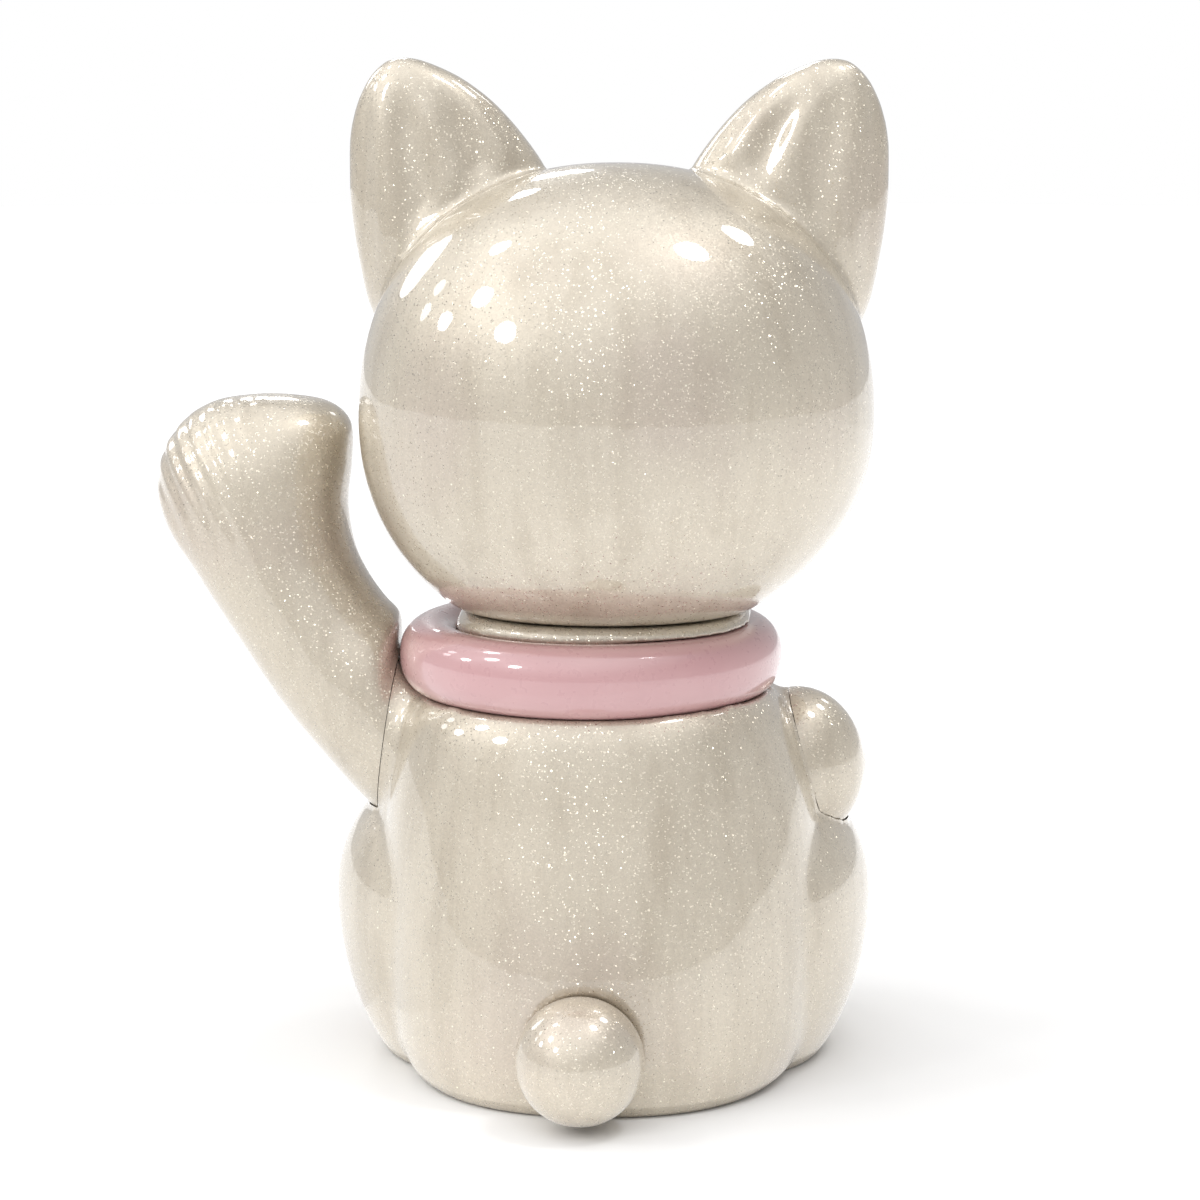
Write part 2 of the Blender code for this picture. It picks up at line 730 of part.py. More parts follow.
def main():
    clear_scene()
    gold_vinyl = material("gold_vinyl", (0.62, 0.55, 0.36), 0.25, 0.35)
    red_vinyl = material("red_vinyl", (0.62, 0.12, 0.13), 0.15, 0.0)
    brass = material("brass", (0.80, 0.60, 0.25), 0.25, 1.0)
    add_body(gold_vinyl)
    add_head(gold_vinyl)
    add_raised_arm(gold_vinyl)
    add_resting_arm(gold_vinyl)
    add_tail(gold_vinyl)
    add_collar(red_vinyl)
    add_bell(brass)


main()
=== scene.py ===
"""Beckoning cat figurine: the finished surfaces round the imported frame.

A hollow soft-vinyl cat in pale gold glitter vinyl with a clear gloss, a fat red collar with a brass bell,
and a painted face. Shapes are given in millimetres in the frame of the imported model: +Z is up, the cat
faces -Y and raises the arm on its +X side.
"""

import json
import math

import bmesh
import bpy
import numpy as np
from mathutils import Matrix, Vector


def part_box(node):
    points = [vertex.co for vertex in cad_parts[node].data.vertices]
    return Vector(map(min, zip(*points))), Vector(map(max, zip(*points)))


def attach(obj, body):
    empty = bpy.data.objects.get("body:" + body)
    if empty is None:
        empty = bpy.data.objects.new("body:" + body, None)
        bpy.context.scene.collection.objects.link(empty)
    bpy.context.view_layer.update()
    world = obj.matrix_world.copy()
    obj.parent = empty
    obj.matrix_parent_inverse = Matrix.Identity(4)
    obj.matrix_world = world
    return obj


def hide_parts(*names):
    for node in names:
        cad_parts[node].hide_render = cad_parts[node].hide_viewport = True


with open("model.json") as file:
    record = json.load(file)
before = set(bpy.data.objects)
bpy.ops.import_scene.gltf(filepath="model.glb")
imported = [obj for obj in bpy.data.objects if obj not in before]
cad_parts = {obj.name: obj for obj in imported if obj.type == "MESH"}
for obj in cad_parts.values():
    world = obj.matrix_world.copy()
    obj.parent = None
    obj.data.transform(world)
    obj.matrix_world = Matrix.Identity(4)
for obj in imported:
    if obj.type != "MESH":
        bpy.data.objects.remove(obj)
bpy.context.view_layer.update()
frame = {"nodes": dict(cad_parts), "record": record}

MM = 0.001
FULL_TURN = 2 * math.pi

# Clearances in millimetres: round a moving ball or stem, at a seam, and round a limb outside its seat
GAP = 0.35
SEAM = 0.1
LIMB_GAP = 0.18


# ---------------------------------------------------------------- places read from the frame


def joint_place(name):
    """A joint's middle in millimetres and its axis."""
    joint = next(j for j in frame["record"]["behaviour"]["joints"] if j["name"] == name)
    return Vector(joint["pos_m"]) / MM, Vector(joint["axis"])


def node_box(name):
    """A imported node's lowest and highest corners, in millimetres."""
    low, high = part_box(name)
    return Vector(low) / MM, Vector(high) / MM


NECK, _ = joint_place("neck_swivel")
RAISED_SEAT, RAISED_AXIS = joint_place("raised_arm_swivel")
RESTING_SEAT, RESTING_AXIS = joint_place("resting_arm_swivel")
TAIL_CENTRE, _ = joint_place("tail_swivel")
BELL_PIVOT, _ = joint_place("bell_swing")
_, HEAD_HIGH = node_box("head_shell")
COLLAR_LOW, COLLAR_HIGH = node_box("collar_ring")
TAIL_LOW, TAIL_HIGH = node_box("tail_ball")
TAIL_RADIUS = (TAIL_HIGH.z - TAIL_LOW.z) / 2
LINK_LOW, LINK_HIGH = node_box("bell_link")
UPPER_LOW, UPPER_HIGH = node_box("bell_upper_half")
LOWER_LOW, LOWER_HIGH = node_box("bell_lower_half")

# ---------------------------------------------------------------- driving shapes, in millimetres

# Torso: height, centre x, half width, reach to the back, reach to the front
TORSO_KEYS = [
    (-4.0, 0.6, 18.0, 23.0, 18.0),
    (0.0, 0.6, 26.2, 32.0, 25.0),
    (3.5, 0.5, 29.0, 33.0, 28.0),
    (9.0, 0.4, 30.4, 34.0, 30.0),
    (19.0, 0.4, 31.6, 33.8, 30.5),
    (30.0, 0.4, 31.5, 31.8, 27.8),
    (40.0, 0.8, 30.6, 29.4, 24.2),
    (47.5, 1.2, 28.8, 28.0, 22.6),
    (52.6, 1.4, 26.9, 26.4, 22.2),
    (56.4, 1.5, 23.8, 23.6, 20.8),
    (60.4, 0.9, 20.8, 20.6, 19.6),
    (63.0, 0.4, 21.2, 21.0, 20.2),
    (65.2, 0.2, 21.0, 20.8, 20.0),
    (66.5, 0.2, 19.8, 19.6, 19.0),
]
TORSO_POWER = 2.35
ROWS_PER_KEY = 8

# Haunches: the x between the two, then one haunch's middle, its radii and its reach below its middle
HAUNCH_X = 0.9
HAUNCH_CENTRE = (15.0, -7.0, 24.0)
HAUNCH_RADII = (24.0, 29.0, 20.6)
HAUNCH_DROP = 34.0

FOOT_CENTRE = (20.5, -29.5, 6.0)
FOOT_RADII = (10.5, 12.5, 8.6)

# Radii of the neck plug, of the bead on it and of the recess for it in the head
NECK_RADIUS = 13.6
NECK_BEAD_RADIUS = 15.8
NECK_RECESS = 17.0

# Head: its middle, then its reach from there and the powers of its sections
HEAD_X = -1.3
HEAD_Y = -1.0
HEAD_RISE = 35.6
HEAD_DROP = 33.3
HEAD_HALF_WIDTH = 36.7
HEAD_BACK = 32.5
HEAD_FRONT = 31.0
HEAD_POWER = 2.2
HEAD_PLAN_POWER = 2.1
JOWL_LEAN = 2.5
HEAD_MIDDLE_DROP = 50.1
HEAD_Z = HEAD_HIGH.z - HEAD_MIDDLE_DROP
HEAD_MIDDLE = Vector((HEAD_X, HEAD_Y, HEAD_Z))

# Muzzle: chin and cheeks, each a middle measured from the head's middle and radii
MUZZLE = [
    ((0.8, -26.2, -10.4), (9.0, 7.6, 7.2)),
    ((5.4, -25.6, -9.2), (7.6, 8.0, 6.4)),
    ((-3.8, -25.6, -9.2), (7.6, 8.0, 6.4)),
]

# Ears: height under the tip, outer edge, inner edge, middle y, half thickness
EAR_KEYS = [
    (44.6, 30.6, 18.0, -9.0, 6.0),
    (36.6, 35.6, 12.0, -9.0, 8.5),
    (28.6, 37.6, 9.5, -9.0, 8.8),
    (21.6, 38.6, 9.0, -9.0, 8.2),
    (16.3, 38.8, 10.4, -9.0, 7.4),
    (10.9, 38.6, 14.0, -8.8, 6.3),
    (6.1, 37.4, 18.4, -8.6, 5.2),
    (2.8, 35.8, 22.8, -8.4, 4.0),
    (0.8, 33.8, 27.2, -8.3, 2.6),
    (0.0, 32.4, 29.6, -8.2, 1.2),
]
EAR_POWER = 2.2
EAR_SHIFT = {1: 0.0, -1: 0.5}
EAR_FLUTE_DEPTH = 0.46

# Hollow in the front of an ear: x from the head's middle, y, height under the tip, and its radii
EAR_HOLLOW = (25.6, -20.6, 21.0)
EAR_HOLLOW_RADII = (9.6, 8.4, 15.0)

# Raised arm, measured from its seat: x, y, z, tilt of the section below level, half width, half depth
RAISED_KEYS = [
    (-14.0, 0.0, -2.0, 82.0, 11.8, 12.0),
    (-3.5, 0.0, -0.5, 82.0, 11.8, 12.0),
    (0.0, 0.0, 0.0, 82.0, 11.8, 12.0),
    (4.6, -0.4, 6.8, 58.0, 11.1, 11.4),
    (10.6, -1.5, 14.5, 25.0, 10.6, 10.6),
    (16.5, -3.0, 23.2, 7.0, 11.7, 10.8),
    (20.2, -5.0, 31.0, 3.0, 13.5, 12.0),
    (20.2, -6.5, 38.3, 0.0, 13.9, 12.2),
    (18.8, -7.0, 43.8, 0.0, 12.3, 10.0),
    (18.1, -7.0, 46.8, 0.0, 8.4, 6.4),
    (18.1, -7.0, 47.8, 0.0, 2.8, 2.4),
]
ARM_POWER = 2.15
RAISED_SEAT_RADIUS = 11.6

# How many rings of the raised arm the torso takes in, and how many come near it
RAISED_ROOT_RINGS = 22
RAISED_NEAR_RINGS = 40

# Raised paw, measured from the seat, and the fine ridges on its back
PAW_CENTRE = (19.5, -12.5, 36.5)
PAW_RADII = (12.4, 10.5, 9.6)
PAW_RIDGE_STEP = 2.5
PAW_RIDGE_HEIGHT = 0.11

# Resting arm's seat: radius that stays crisp on the torso, and radius cut off the arm behind it
RESTING_SEAT_RADIUS = 12.4
RESTING_SEAT_CUT = 11.9

# Resting arm, measured from its seat: a round shoulder, then a forearm of x, y, z and radius
SHOULDER_CENTRE = (1.0, -1.6, -3.1)
SHOULDER_RADII = (9.8, 9.8, 11.4)
RESTING_KEYS = [
    (-0.7, 3.6, -2.7, 4.0),
    (-0.9, 1.4, -2.9, 7.0),
    (-0.9, -3.0, -3.3, 8.2),
    (-0.1, -10.0, -4.7, 8.2),
    (2.9, -18.5, -6.9, 7.9),
    (7.7, -26.0, -9.1, 8.0),
    (13.3, -31.2, -10.5, 8.4),
    (17.3, -33.8, -11.3, 7.2),
    (20.1, -35.2, -11.7, 4.2),
    (21.1, -35.7, -11.9, 1.2),
]

# Shoulder plugs: radius and reach of the stem behind the seat
RAISED_STEM = (4.6, 7.0)
RESTING_STEM = (4.4, 7.0)

# Collar section, then the lug that carries the bell: its size, its rise over the collar's floor, its root
COLLAR_HALF_WIDTH = 4.6
COLLAR_HALF_HEIGHT = 5.2
COLLAR_POWER = 2.3
LUG_HALF_WIDTH = 2.0
LUG_HALF_THICKNESS = 0.5
LUG_RISE = 3.4
LUG_ROOT_Y = -25.0
EYE_HOLE_RADIUS = 0.95

# Bell: wall thickness, then its slot, which starts and ends at a height below the middle
BELL_WALL = 0.5
SLOT_HALF_LENGTH = 2.9
SLOT_HALF_WIDTH = 1.0
SLOT_END_RADIUS = 1.6
SLOT_START = 1.4
SLOT_END = 9.0

# Voxel sizes of the moulded shapes
SHELL_VOXEL = 0.5
ARM_VOXEL = 0.4
TAIL_VOXEL = 0.3
LUG_VOXEL = 0.12
BELL_EYE_VOXEL = 0.1


# ---------------------------------------------------------------- shape helpers


def eased(keys, steps):
    """Rows on one smooth curve through the key rows, with steps rows for each key."""
    keys = [np.array(key, float) for key in keys]
    ends = [keys[0], *keys, keys[-1]]
    rows = []
    for a, b, c, d in zip(ends, ends[1:], ends[2:], ends[3:]):
        for i in range(steps):
            t = i / steps
            rows.append(
                b
                + 0.5 * (c - a) * t
                + 0.5 * (2 * a - 5 * b + 4 * c - d) * t**2
                + 0.5 * (3 * b - a - 3 * c + d) * t**3
            )
    return rows + [keys[-1]]


def oval(centre, side, back, front, power, count):
    """A closed ring of points: a superellipse with its own reach to the back and to the front."""
    angle = np.arange(count) / count * FULL_TURN
    across = np.sign(np.cos(angle)) * np.abs(np.cos(angle)) ** (2 / power)
    along = np.abs(np.sin(angle)) ** (2 / power)
    reach = np.where(np.sin(angle)[:, None] > 0, np.array(back, float), np.array(front, float))
    return np.array(centre, float) + across[:, None] * np.array(side, float) + along[:, None] * reach


def skin(rings):
    """Join closed rings of equal point counts in their order, and close the first and the last."""
    shape = bmesh.new()
    loops = [[shape.verts.new(point) for point in ring] for ring in rings]
    for lower, upper in zip(loops, loops[1:]):
        for a, b, c, d in zip(lower, lower[1:] + lower[:1], upper[1:] + upper[:1], upper):
            shape.faces.new((a, b, c, d))
    shape.faces.new(loops[0])
    shape.faces.new(loops[-1])
    bmesh.ops.recalc_face_normals(shape, faces=shape.faces)
    return shape


def ball(centre, radii, segments=64, drop=None):
    """An ellipsoid, whose lower half may be deeper than its upper half."""
    shape = bmesh.new()
    bmesh.ops.create_uvsphere(shape, u_segments=segments, v_segments=segments // 2, radius=1.0)
    for vert in shape.verts:
        height = radii[2] if vert.co.z > 0 or drop is None else drop
        vert.co = Vector(centre) + Vector((vert.co.x * radii[0], vert.co.y * radii[1], vert.co.z * height))
    return shape


def turned(base, axis, profile, segments=96):
    """A closed solid turned round an axis, from pairs of a distance along it and a radius."""
    turn = Vector(axis).to_track_quat("Z", "Y").to_matrix()
    rings = []
    for along, radius in profile:
        middle = Vector(base) + Vector(axis) * along
        side = np.array(turn.col[0]) * radius
        rise = np.array(turn.col[1]) * radius
        rings.append(oval(middle, side, rise, -rise, 2, segments))
    return skin(rings)


def cylinder(base, axis, start, end, radius, segments=96):
    return turned(base, axis, [(start, radius), (end, radius)], segments)


def block(low, high):
    shape = bmesh.new()
    low, high = Vector(low), Vector(high)
    size = Matrix.Diagonal((*(high - low), 1.0))
    bmesh.ops.create_cube(shape, size=1.0, matrix=Matrix.Translation((low + high) / 2) @ size)
    return shape


def torus(centre, axis, radius, half_width, half_height, power, around, across):
    """A ring whose tube is a superellipse, half_width outward and half_height along the axis."""
    turn = Vector(axis).to_track_quat("Z", "Y").to_matrix()
    side, rise = (half_width, 0, 0), (0, 0, half_height)
    profile = oval((radius, 0, 0), side, rise, (0, 0, -half_height), power, across)
    shape = bmesh.new()
    loops = []
    for i in range(around):
        spin = turn @ Matrix.Rotation(FULL_TURN * i / around, 3, "Z")
        loops.append([shape.verts.new(Vector(centre) + spin @ Vector(point)) for point in profile])
    for here, there in zip(loops, loops[1:] + loops[:1]):
        for a, b, c, d in zip(here, here[1:] + here[:1], there[1:] + there[:1], there):
            shape.faces.new((a, b, c, d))
    bmesh.ops.recalc_face_normals(shape, faces=shape.faces)
    return shape


def loose(shape):
    """A bmesh in millimetres as a scene object in millimetres, for modifiers to work on."""
    mesh = bpy.data.meshes.new("loose")
    shape.to_mesh(mesh)
    shape.free()
    made = bpy.data.objects.new("loose", mesh)
    bpy.context.scene.collection.objects.link(made)
    return made


def combined(base, steps, voxel=None):
    """A solid after some Boolean steps, made even and fine where a voxel size is given."""
    base = loose(base)
    tools = []
    for shape, operation in steps:
        tool = loose(shape)
        tools.append(tool)
        step = base.modifiers.new("step", "BOOLEAN")
        step.object = tool
        step.operation = operation
        step.solver = "MANIFOLD"
    if voxel:
        even = base.modifiers.new("even", "REMESH")
        even.mode = "VOXEL"
        even.voxel_size = voxel
    graph = bpy.context.evaluated_depsgraph_get()
    mesh = bpy.data.meshes.new_from_object(base.evaluated_get(graph))
    for made in (base, *tools):
        bpy.data.objects.remove(made)
    return mesh


def moulded(adds, cuts, voxel):
    """The union of some solids, less others, as one even fine mesh in millimetres."""
    steps = [(shape, "UNION") for shape in adds[1:]] + [(shape, "DIFFERENCE") for shape in cuts]
    return combined(adds[0], steps, voxel)


def shape_of(mesh):
    """A mesh as a bmesh, for another Boolean step."""
    shape = bmesh.new()
    shape.from_mesh(mesh)
    return shape


def trimmed(mesh, cuts):
    """A finished mesh less some solids, with crisp edges where it was cut."""
    return combined(shape_of(mesh), [(shape, "DIFFERENCE") for shape in cuts])


def points_of(mesh):
    points = np.empty(len(mesh.vertices) * 3)
    mesh.vertices.foreach_get("co", points)
    return points.reshape(-1, 3)


def normals_of(mesh):
    normals = np.empty(len(mesh.vertices) * 3, dtype=np.float32)
    mesh.vertex_normals.foreach_get("vector", normals)
    return normals.reshape(-1, 3)


def put_points(mesh, points):
    """Move the mesh's points to new places."""
    mesh.vertices.foreach_set("co", points.ravel())
    mesh.update()


def links_of(mesh):
    """Both ends of each edge, and the number of edges at each point."""
    edges = np.empty(len(mesh.edges) * 2, dtype=np.int64)
    mesh.edges.foreach_get("vertices", edges)
    a, b = edges.reshape(-1, 2).T
    return a, b, np.bincount(edges, minlength=len(mesh.vertices))


def around(values, links):
    """The mean of the neighbours' values at each point."""
    a, b, count = links
    columns = values if values.ndim == 2 else values[:, None]
    total = [
        np.bincount(a, column[b], len(count)) + np.bincount(b, column[a], len(count))
        for column in columns.T
    ]
    return (np.stack(total, axis=1) / count[:, None]).reshape(values.shape)


def smooth(mesh, rounds, weight=1.0, push=0.0):
    """Round a mesh off by weight; a push after each pull keeps its size."""
    links = links_of(mesh)
    points = points_of(mesh)
    weight = np.broadcast_to(np.reshape(weight, (-1, 1)), (len(points), 1))
    for _ in range(rounds):
        points += 0.5 * weight * (around(points, links) - points)
        if push:
            points -= push * weight * (around(points, links) - points)
    put_points(mesh, points)


# How hollow a point is, in millimetres, where filling starts and where it is full
HOLLOW_RANGE = (0.004, 0.02)
FILLET_SPREAD = 6
KEEP_SIZE_PUSH = 0.52


def fillet(mesh, rounds, keep_out=0.0):
    """Fill inner corners with a soft roll, except where keep_out is 1."""
    links = links_of(mesh)
    points = points_of(mesh)
    hollow = ((around(points, links) - points) * normals_of(mesh)).sum(axis=1)
    weight = step_up(hollow, *HOLLOW_RANGE)
    for _ in range(FILLET_SPREAD):
        weight = np.maximum(weight, around(weight, links))
    smooth(mesh, rounds, np.clip(weight * 1.5, 0, 1) * (1 - keep_out))


def take_off_steps(mesh, soft_rounds, even_rounds):
    """Smooth the voxel steps away: a few rounds that soften edges, then more that keep the size."""
    smooth(mesh, soft_rounds)
    smooth(mesh, even_rounds, push=KEEP_SIZE_PUSH)


def raise_by(mesh, height):
    """Move each point along its normal by height millimetres."""
    put_points(mesh, points_of(mesh) + normals_of(mesh) * height[:, None])


def step_up(value, low, high):
    """0 below low, 1 above high and a smooth rise between."""
    t = np.clip((value - low) / (high - low), 0, 1)
    return t * t * (3 - 2 * t)


def groove(distance, width):
    """A rounded valley of depth 1 along distance 0."""
    return -np.exp(-((distance / width) ** 2))


def piece(name, mesh, body, nodes, finish):
    """Put a mesh in millimetres into the scene as a finished piece of the object."""
    mesh.transform(Matrix.Scale(MM, 4))
    mesh.shade_smooth()
    mesh.set_sharp_from_angle(angle=math.radians(50))
    mesh.materials.clear()
    mesh.materials.append(finish)
    made = bpy.data.objects.new(name, mesh)
    bpy.context.scene.collection.objects.link(made)
    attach(made, body)
    if nodes:
        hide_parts(*nodes)


def store(mesh, name, values):
    """Keep one number per point on a mesh, for its material."""
    layer = mesh.attributes.new(name, "FLOAT", "POINT")
    layer.data.foreach_set("value", values.astype(np.float32))


# ---------------------------------------------------------------- flat outlines, as distances in mm


def to_oval(x, z, centre, half_width, half_height, tilt=0.0):
    """Distance outside an oval (less than 0 inside it)."""
    turn = math.radians(tilt)
    dx = (x - centre[0]) * math.cos(turn) + (z - centre[1]) * math.sin(turn)
    dz = (z - centre[1]) * math.cos(turn) - (x - centre[0]) * math.sin(turn)
    scaled = np.sqrt((dx / half_width) ** 2 + (dz / half_height) ** 2)
    return (scaled - 1) * min(half_width, half_height)


def to_stroke(x, z, points, width, taper=0.0):
    """Distance outside a drawn stroke through some points, which may thin out towards its end."""
    best = np.full(x.shape, 1e3)
    count = len(points) - 1
    for i, (start, end) in enumerate(zip(points, points[1:])):
        run = np.array(end) - np.array(start)
        t = ((x - start[0]) * run[0] + (z - start[1]) * run[1]) / (run @ run)
        t = np.clip(t, 0, 1)
        half = width / 2 * (1 - taper * (i + t) / count)
        reach = np.hypot(x - start[0] - t * run[0], z - start[1] - t * run[1]) - half
        best = np.minimum(best, reach)
    return best


def arc(centre, radius, start, end, count=12):
    """Points on an arc between two angles in degrees."""
    angles = np.radians(np.linspace(start, end, count))
    return [(centre[0] + radius * math.cos(a), centre[1] + radius * math.sin(a)) for a in angles]


# Painted face, measured from the head's middle: x to the side and z up. An oval is its middle, half
# width, half height and tilt in degrees; a stroke is the points that it runs through.
FACE_X = 0.8
EYE = ((13.4, 1.6), 7.0, 4.9, 14)
PUPIL = ((12.6, 1.5), 3.1, 4.4)
EYE_LINE = 0.75
GLINT_OFFSET = -1.1
GLINT_Z = 3.3
GLINT_RADII = (0.95, 1.1)
LASH = [(19.0, 4.4), (21.2, 6.4)]
BROW = arc((13.2, 4.2), 8.8, 118, 66)
WHISKERS = [
    [(15.4, -7.6), (27.4, -5.2)],
    [(15.6, -10.0), (27.4, -10.6)],
    [(14.8, -12.4), (25.4, -16.0)],
]
LIP = arc((3.2, -10.0), 3.2, 185, 345)
LIP_MIDDLE = [(0.0, -6.0), (0.0, -10.0)]
NOSE = (0.0, -5.0)
INNER_EAR_RADII = (7.9, 12.4)
INNER_EAR_TILT = -12

# How far in front of the head's middle the face is painted, and of y = 0 the inside of the ears
PAINT_FROM = 12
INNER_EAR_FROM = 10.5


# ---------------------------------------------------------------- vinyl shells


def torso_rings(grow=0.0):
    rings = []
    for height, x, half_width, back, front in eased(TORSO_KEYS, ROWS_PER_KEY):
        side = (half_width + grow, 0, 0)
        rings.append(
            oval((x, 0, height), side, (0, back + grow, 0), (0, -front - grow, 0), TORSO_POWER, 144)
        )
    return rings


def haunch(side, grow=0.0):
    x, y, z = HAUNCH_CENTRE
    radii = [radius + grow for radius in HAUNCH_RADII]
    return ball((HAUNCH_X + side * x, y, z), radii, 96, HAUNCH_DROP + grow)


def foot(side):
    x, y, z = FOOT_CENTRE
    return ball((side * x, y, z), FOOT_RADII)


def collar_ring(grow=0.0, around_count=160, across=48):
    middle = (COLLAR_LOW + COLLAR_HIGH) / 2
    middle.y = 0.0
    middle.z = COLLAR_HIGH.z - COLLAR_HALF_HEIGHT
    radius = (COLLAR_HIGH.x - COLLAR_LOW.x) / 2 - COLLAR_HALF_WIDTH
    width = COLLAR_HALF_WIDTH + grow
    height = COLLAR_HALF_HEIGHT + grow
    return torus(middle, (0, 0, 1), radius, width, height, COLLAR_POWER, around_count, across)


def neck_profile():
    """The neck plug with its bead, from inside the torso up, measured from the head's floor."""
    return [
        (-12.0, NECK_RADIUS),
        (2.9, NECK_RADIUS),
        (3.5, NECK_BEAD_RADIUS),
        (4.7, NECK_BEAD_RADIUS),
        (6.0, NECK_RADIUS),
    ]


def toe_grooves(points, middle, spacing, width, depth, mask):
    """Two rounded grooves between three toes, along x."""
    height = np.zeros(len(points))
    for side in (-1, 1):
        height += depth * groove(points[:, 0] - middle - side * spacing / 2, width)
    return height * mask


def raised_rings(last=None, grow=0.0):
    """Rings of the raised arm from inside its seat to the paw."""
    rings = []
    for x, y, z, tilt, half_width, half_depth in eased(RAISED_KEYS, ROWS_PER_KEY)[:last]:
        angle = math.radians(tilt)
        side = np.array((math.cos(angle), 0, -math.sin(angle))) * (half_width + grow)
        depth = half_depth + grow
        middle = RAISED_SEAT + Vector((x, y, z))
        rings.append(oval(middle, side, (0, depth, 0), (0, -depth, 0), ARM_POWER, 112))
    return rings


def shoulder(grow=0.0):
    """The round shoulder of the resting arm, shared by the torso and the arm."""
    radii = [radius + grow for radius in SHOULDER_RADII]
    return ball(RESTING_SEAT + Vector(SHOULDER_CENTRE), radii, 96)


def beyond(shape, seat, axis):
    """The part of a solid outside a seat's plane."""
    return shape_of(combined(shape, [(cylinder(seat, axis, -40, 0, 60), "DIFFERENCE")]))


def beside_seat(points, seat, axis, radius):
    """1 round a seat, from just behind its plane outwards, and 0 elsewhere."""
    offset = points - np.array(seat)
    run = offset @ np.array(axis)
    away = np.linalg.norm(offset - run[:, None] * np.array(axis), axis=1)
    return step_up(run, -1.4, -0.5) * (1 - step_up(away, radius + 1, radius + 3))


def make_body(finish):
    stem_radius, stem_reach = RAISED_STEM
    small_radius, small_reach = RESTING_STEM
    adds = [
        skin(torso_rings()),
        haunch(1),
        haunch(-1),
        foot(1),
        foot(-1),
        skin(raised_rings(RAISED_ROOT_RINGS)),
        shoulder(),
        turned(NECK, (0, 0, 1), neck_profile()),
    ]
    cuts = [
        ball(TAIL_CENTRE, (TAIL_RADIUS + GAP,) * 3),
        collar_ring(SEAM, 128, 32),
        block((-80, -80, -40), (80, 80, 0)),
    ]
    mesh = moulded(adds, cuts, SHELL_VOXEL)
    points = points_of(mesh)
    from_tail = np.linalg.norm(points - np.array(TAIL_CENTRE), axis=1)
    tail_zone = 1 - step_up(from_tail, 11.5, 14)
    low_zone = 1 - step_up(points[:, 2], 1.0, 3.0)
    high_zone = step_up(points[:, 2], 56, 58)
    seats = [
        beside_seat(points, RAISED_SEAT, RAISED_AXIS, RAISED_SEAT_RADIUS),
        beside_seat(points, RESTING_SEAT, RESTING_AXIS, RESTING_SEAT_RADIUS),
    ]
    keep_out = np.maximum.reduce([tail_zone, low_zone, high_zone, *seats])
    fillet(mesh, 60, keep_out)
    take_off_steps(mesh, 5, 10)
    points = points_of(mesh)
    front = step_up(-points[:, 1], 33, 36) * (1 - step_up(points[:, 2], 11, 14))
    grooves = [
        toe_grooves(points, side * FOOT_CENTRE[0], spacing=6.4, width=0.8, depth=0.8, mask=front)
        for side in (1, -1)
    ]
    raise_by(mesh, sum(grooves))
    mesh = trimmed(mesh, [
        beyond(skin(raised_rings(RAISED_NEAR_RINGS, LIMB_GAP)), RAISED_SEAT, RAISED_AXIS),
        beyond(shoulder(LIMB_GAP), RESTING_SEAT, RESTING_AXIS),
        cylinder(RAISED_SEAT, RAISED_AXIS, -stem_reach - 1, 1, stem_radius + GAP),
        cylinder(RESTING_SEAT, RESTING_AXIS, -small_reach - 1, 1, small_radius + GAP),
    ])
    piece("body", mesh, "torso", ["body_shell"], finish)


def head_rings():
    """Level rings of the head from its floor to its crown."""
    rings = []
    lowest = math.asin(((HEAD_Z - NECK.z) / HEAD_DROP) ** (HEAD_POWER / 2))
    highest = math.pi / 2 * 0.995
    for angle in np.linspace(-lowest, highest, 72).tolist():
        up = abs(math.sin(angle)) ** (2 / HEAD_POWER)
        height = HEAD_RISE * up if angle > 0 else -HEAD_DROP * up
        scale = math.cos(angle) ** (2 / HEAD_POWER)
        lean = JOWL_LEAN * min(height / HEAD_DROP, 0) ** 2
        rings.append(
            oval(
                (HEAD_X + lean, HEAD_Y, HEAD_Z + height),
                (HEAD_HALF_WIDTH * scale - lean, 0, 0),
                (0, HEAD_BACK * scale, 0),
                (0, -HEAD_FRONT * scale, 0),
                HEAD_PLAN_POWER,
                160,
            )
        )
    return rings


def ear(side):
    rings = []
    for below, outer, inner, y, thick in eased(EAR_KEYS, ROWS_PER_KEY):
        middle = HEAD_X + side * (outer + inner) / 2 + EAR_SHIFT[side]
        width = ((outer - inner) / 2, 0, 0)
        rings.append(
            oval((middle, y, HEAD_HIGH.z - below), width, (0, thick, 0), (0, -thick, 0), EAR_POWER, 80)
        )
    return skin(rings)


def ear_flutes(points):
    """Shallow lengthwise hollows down the backs of the ears."""
    rows = np.array(eased(EAR_KEYS, 4))
    below = HEAD_HIGH.z - points[:, 2]
    order = np.argsort(rows[:, 0])
    outer = np.interp(below, rows[order, 0], rows[order, 1])
    inner = np.interp(below, rows[order, 0], rows[order, 2])
    x = points[:, 0] - HEAD_X
    across = (np.abs(x) - (outer + inner) / 2) / ((outer - inner) / 2)
    dome = np.sqrt((x / HEAD_HALF_WIDTH) ** 2 + (points[:, 1] / HEAD_BACK) ** 2
                   + ((points[:, 2] - HEAD_Z) / HEAD_RISE) ** 2)
    mask = step_up(dome, 1.04, 1.14) * step_up(points[:, 1], -8.5, -6.0)
    mask *= (1 - step_up(np.abs(across), 0.72, 0.98)) * step_up(below, 3, 10)
    return EAR_FLUTE_DEPTH * mask * (np.cos(across * 3.1 * math.pi + 0.5) - 0.35)


def hollow_middle(side):
    """The middle of the hollow in the front of one ear."""
    x, y, below = EAR_HOLLOW
    return HEAD_X + side * x + EAR_SHIFT[side], y, HEAD_HIGH.z - below


def on_face(points):
    """Places measured as the painted face is: x from its middle and z from the head's middle."""
    return points[:, 0] - HEAD_X - FACE_X, points[:, 2] - HEAD_Z


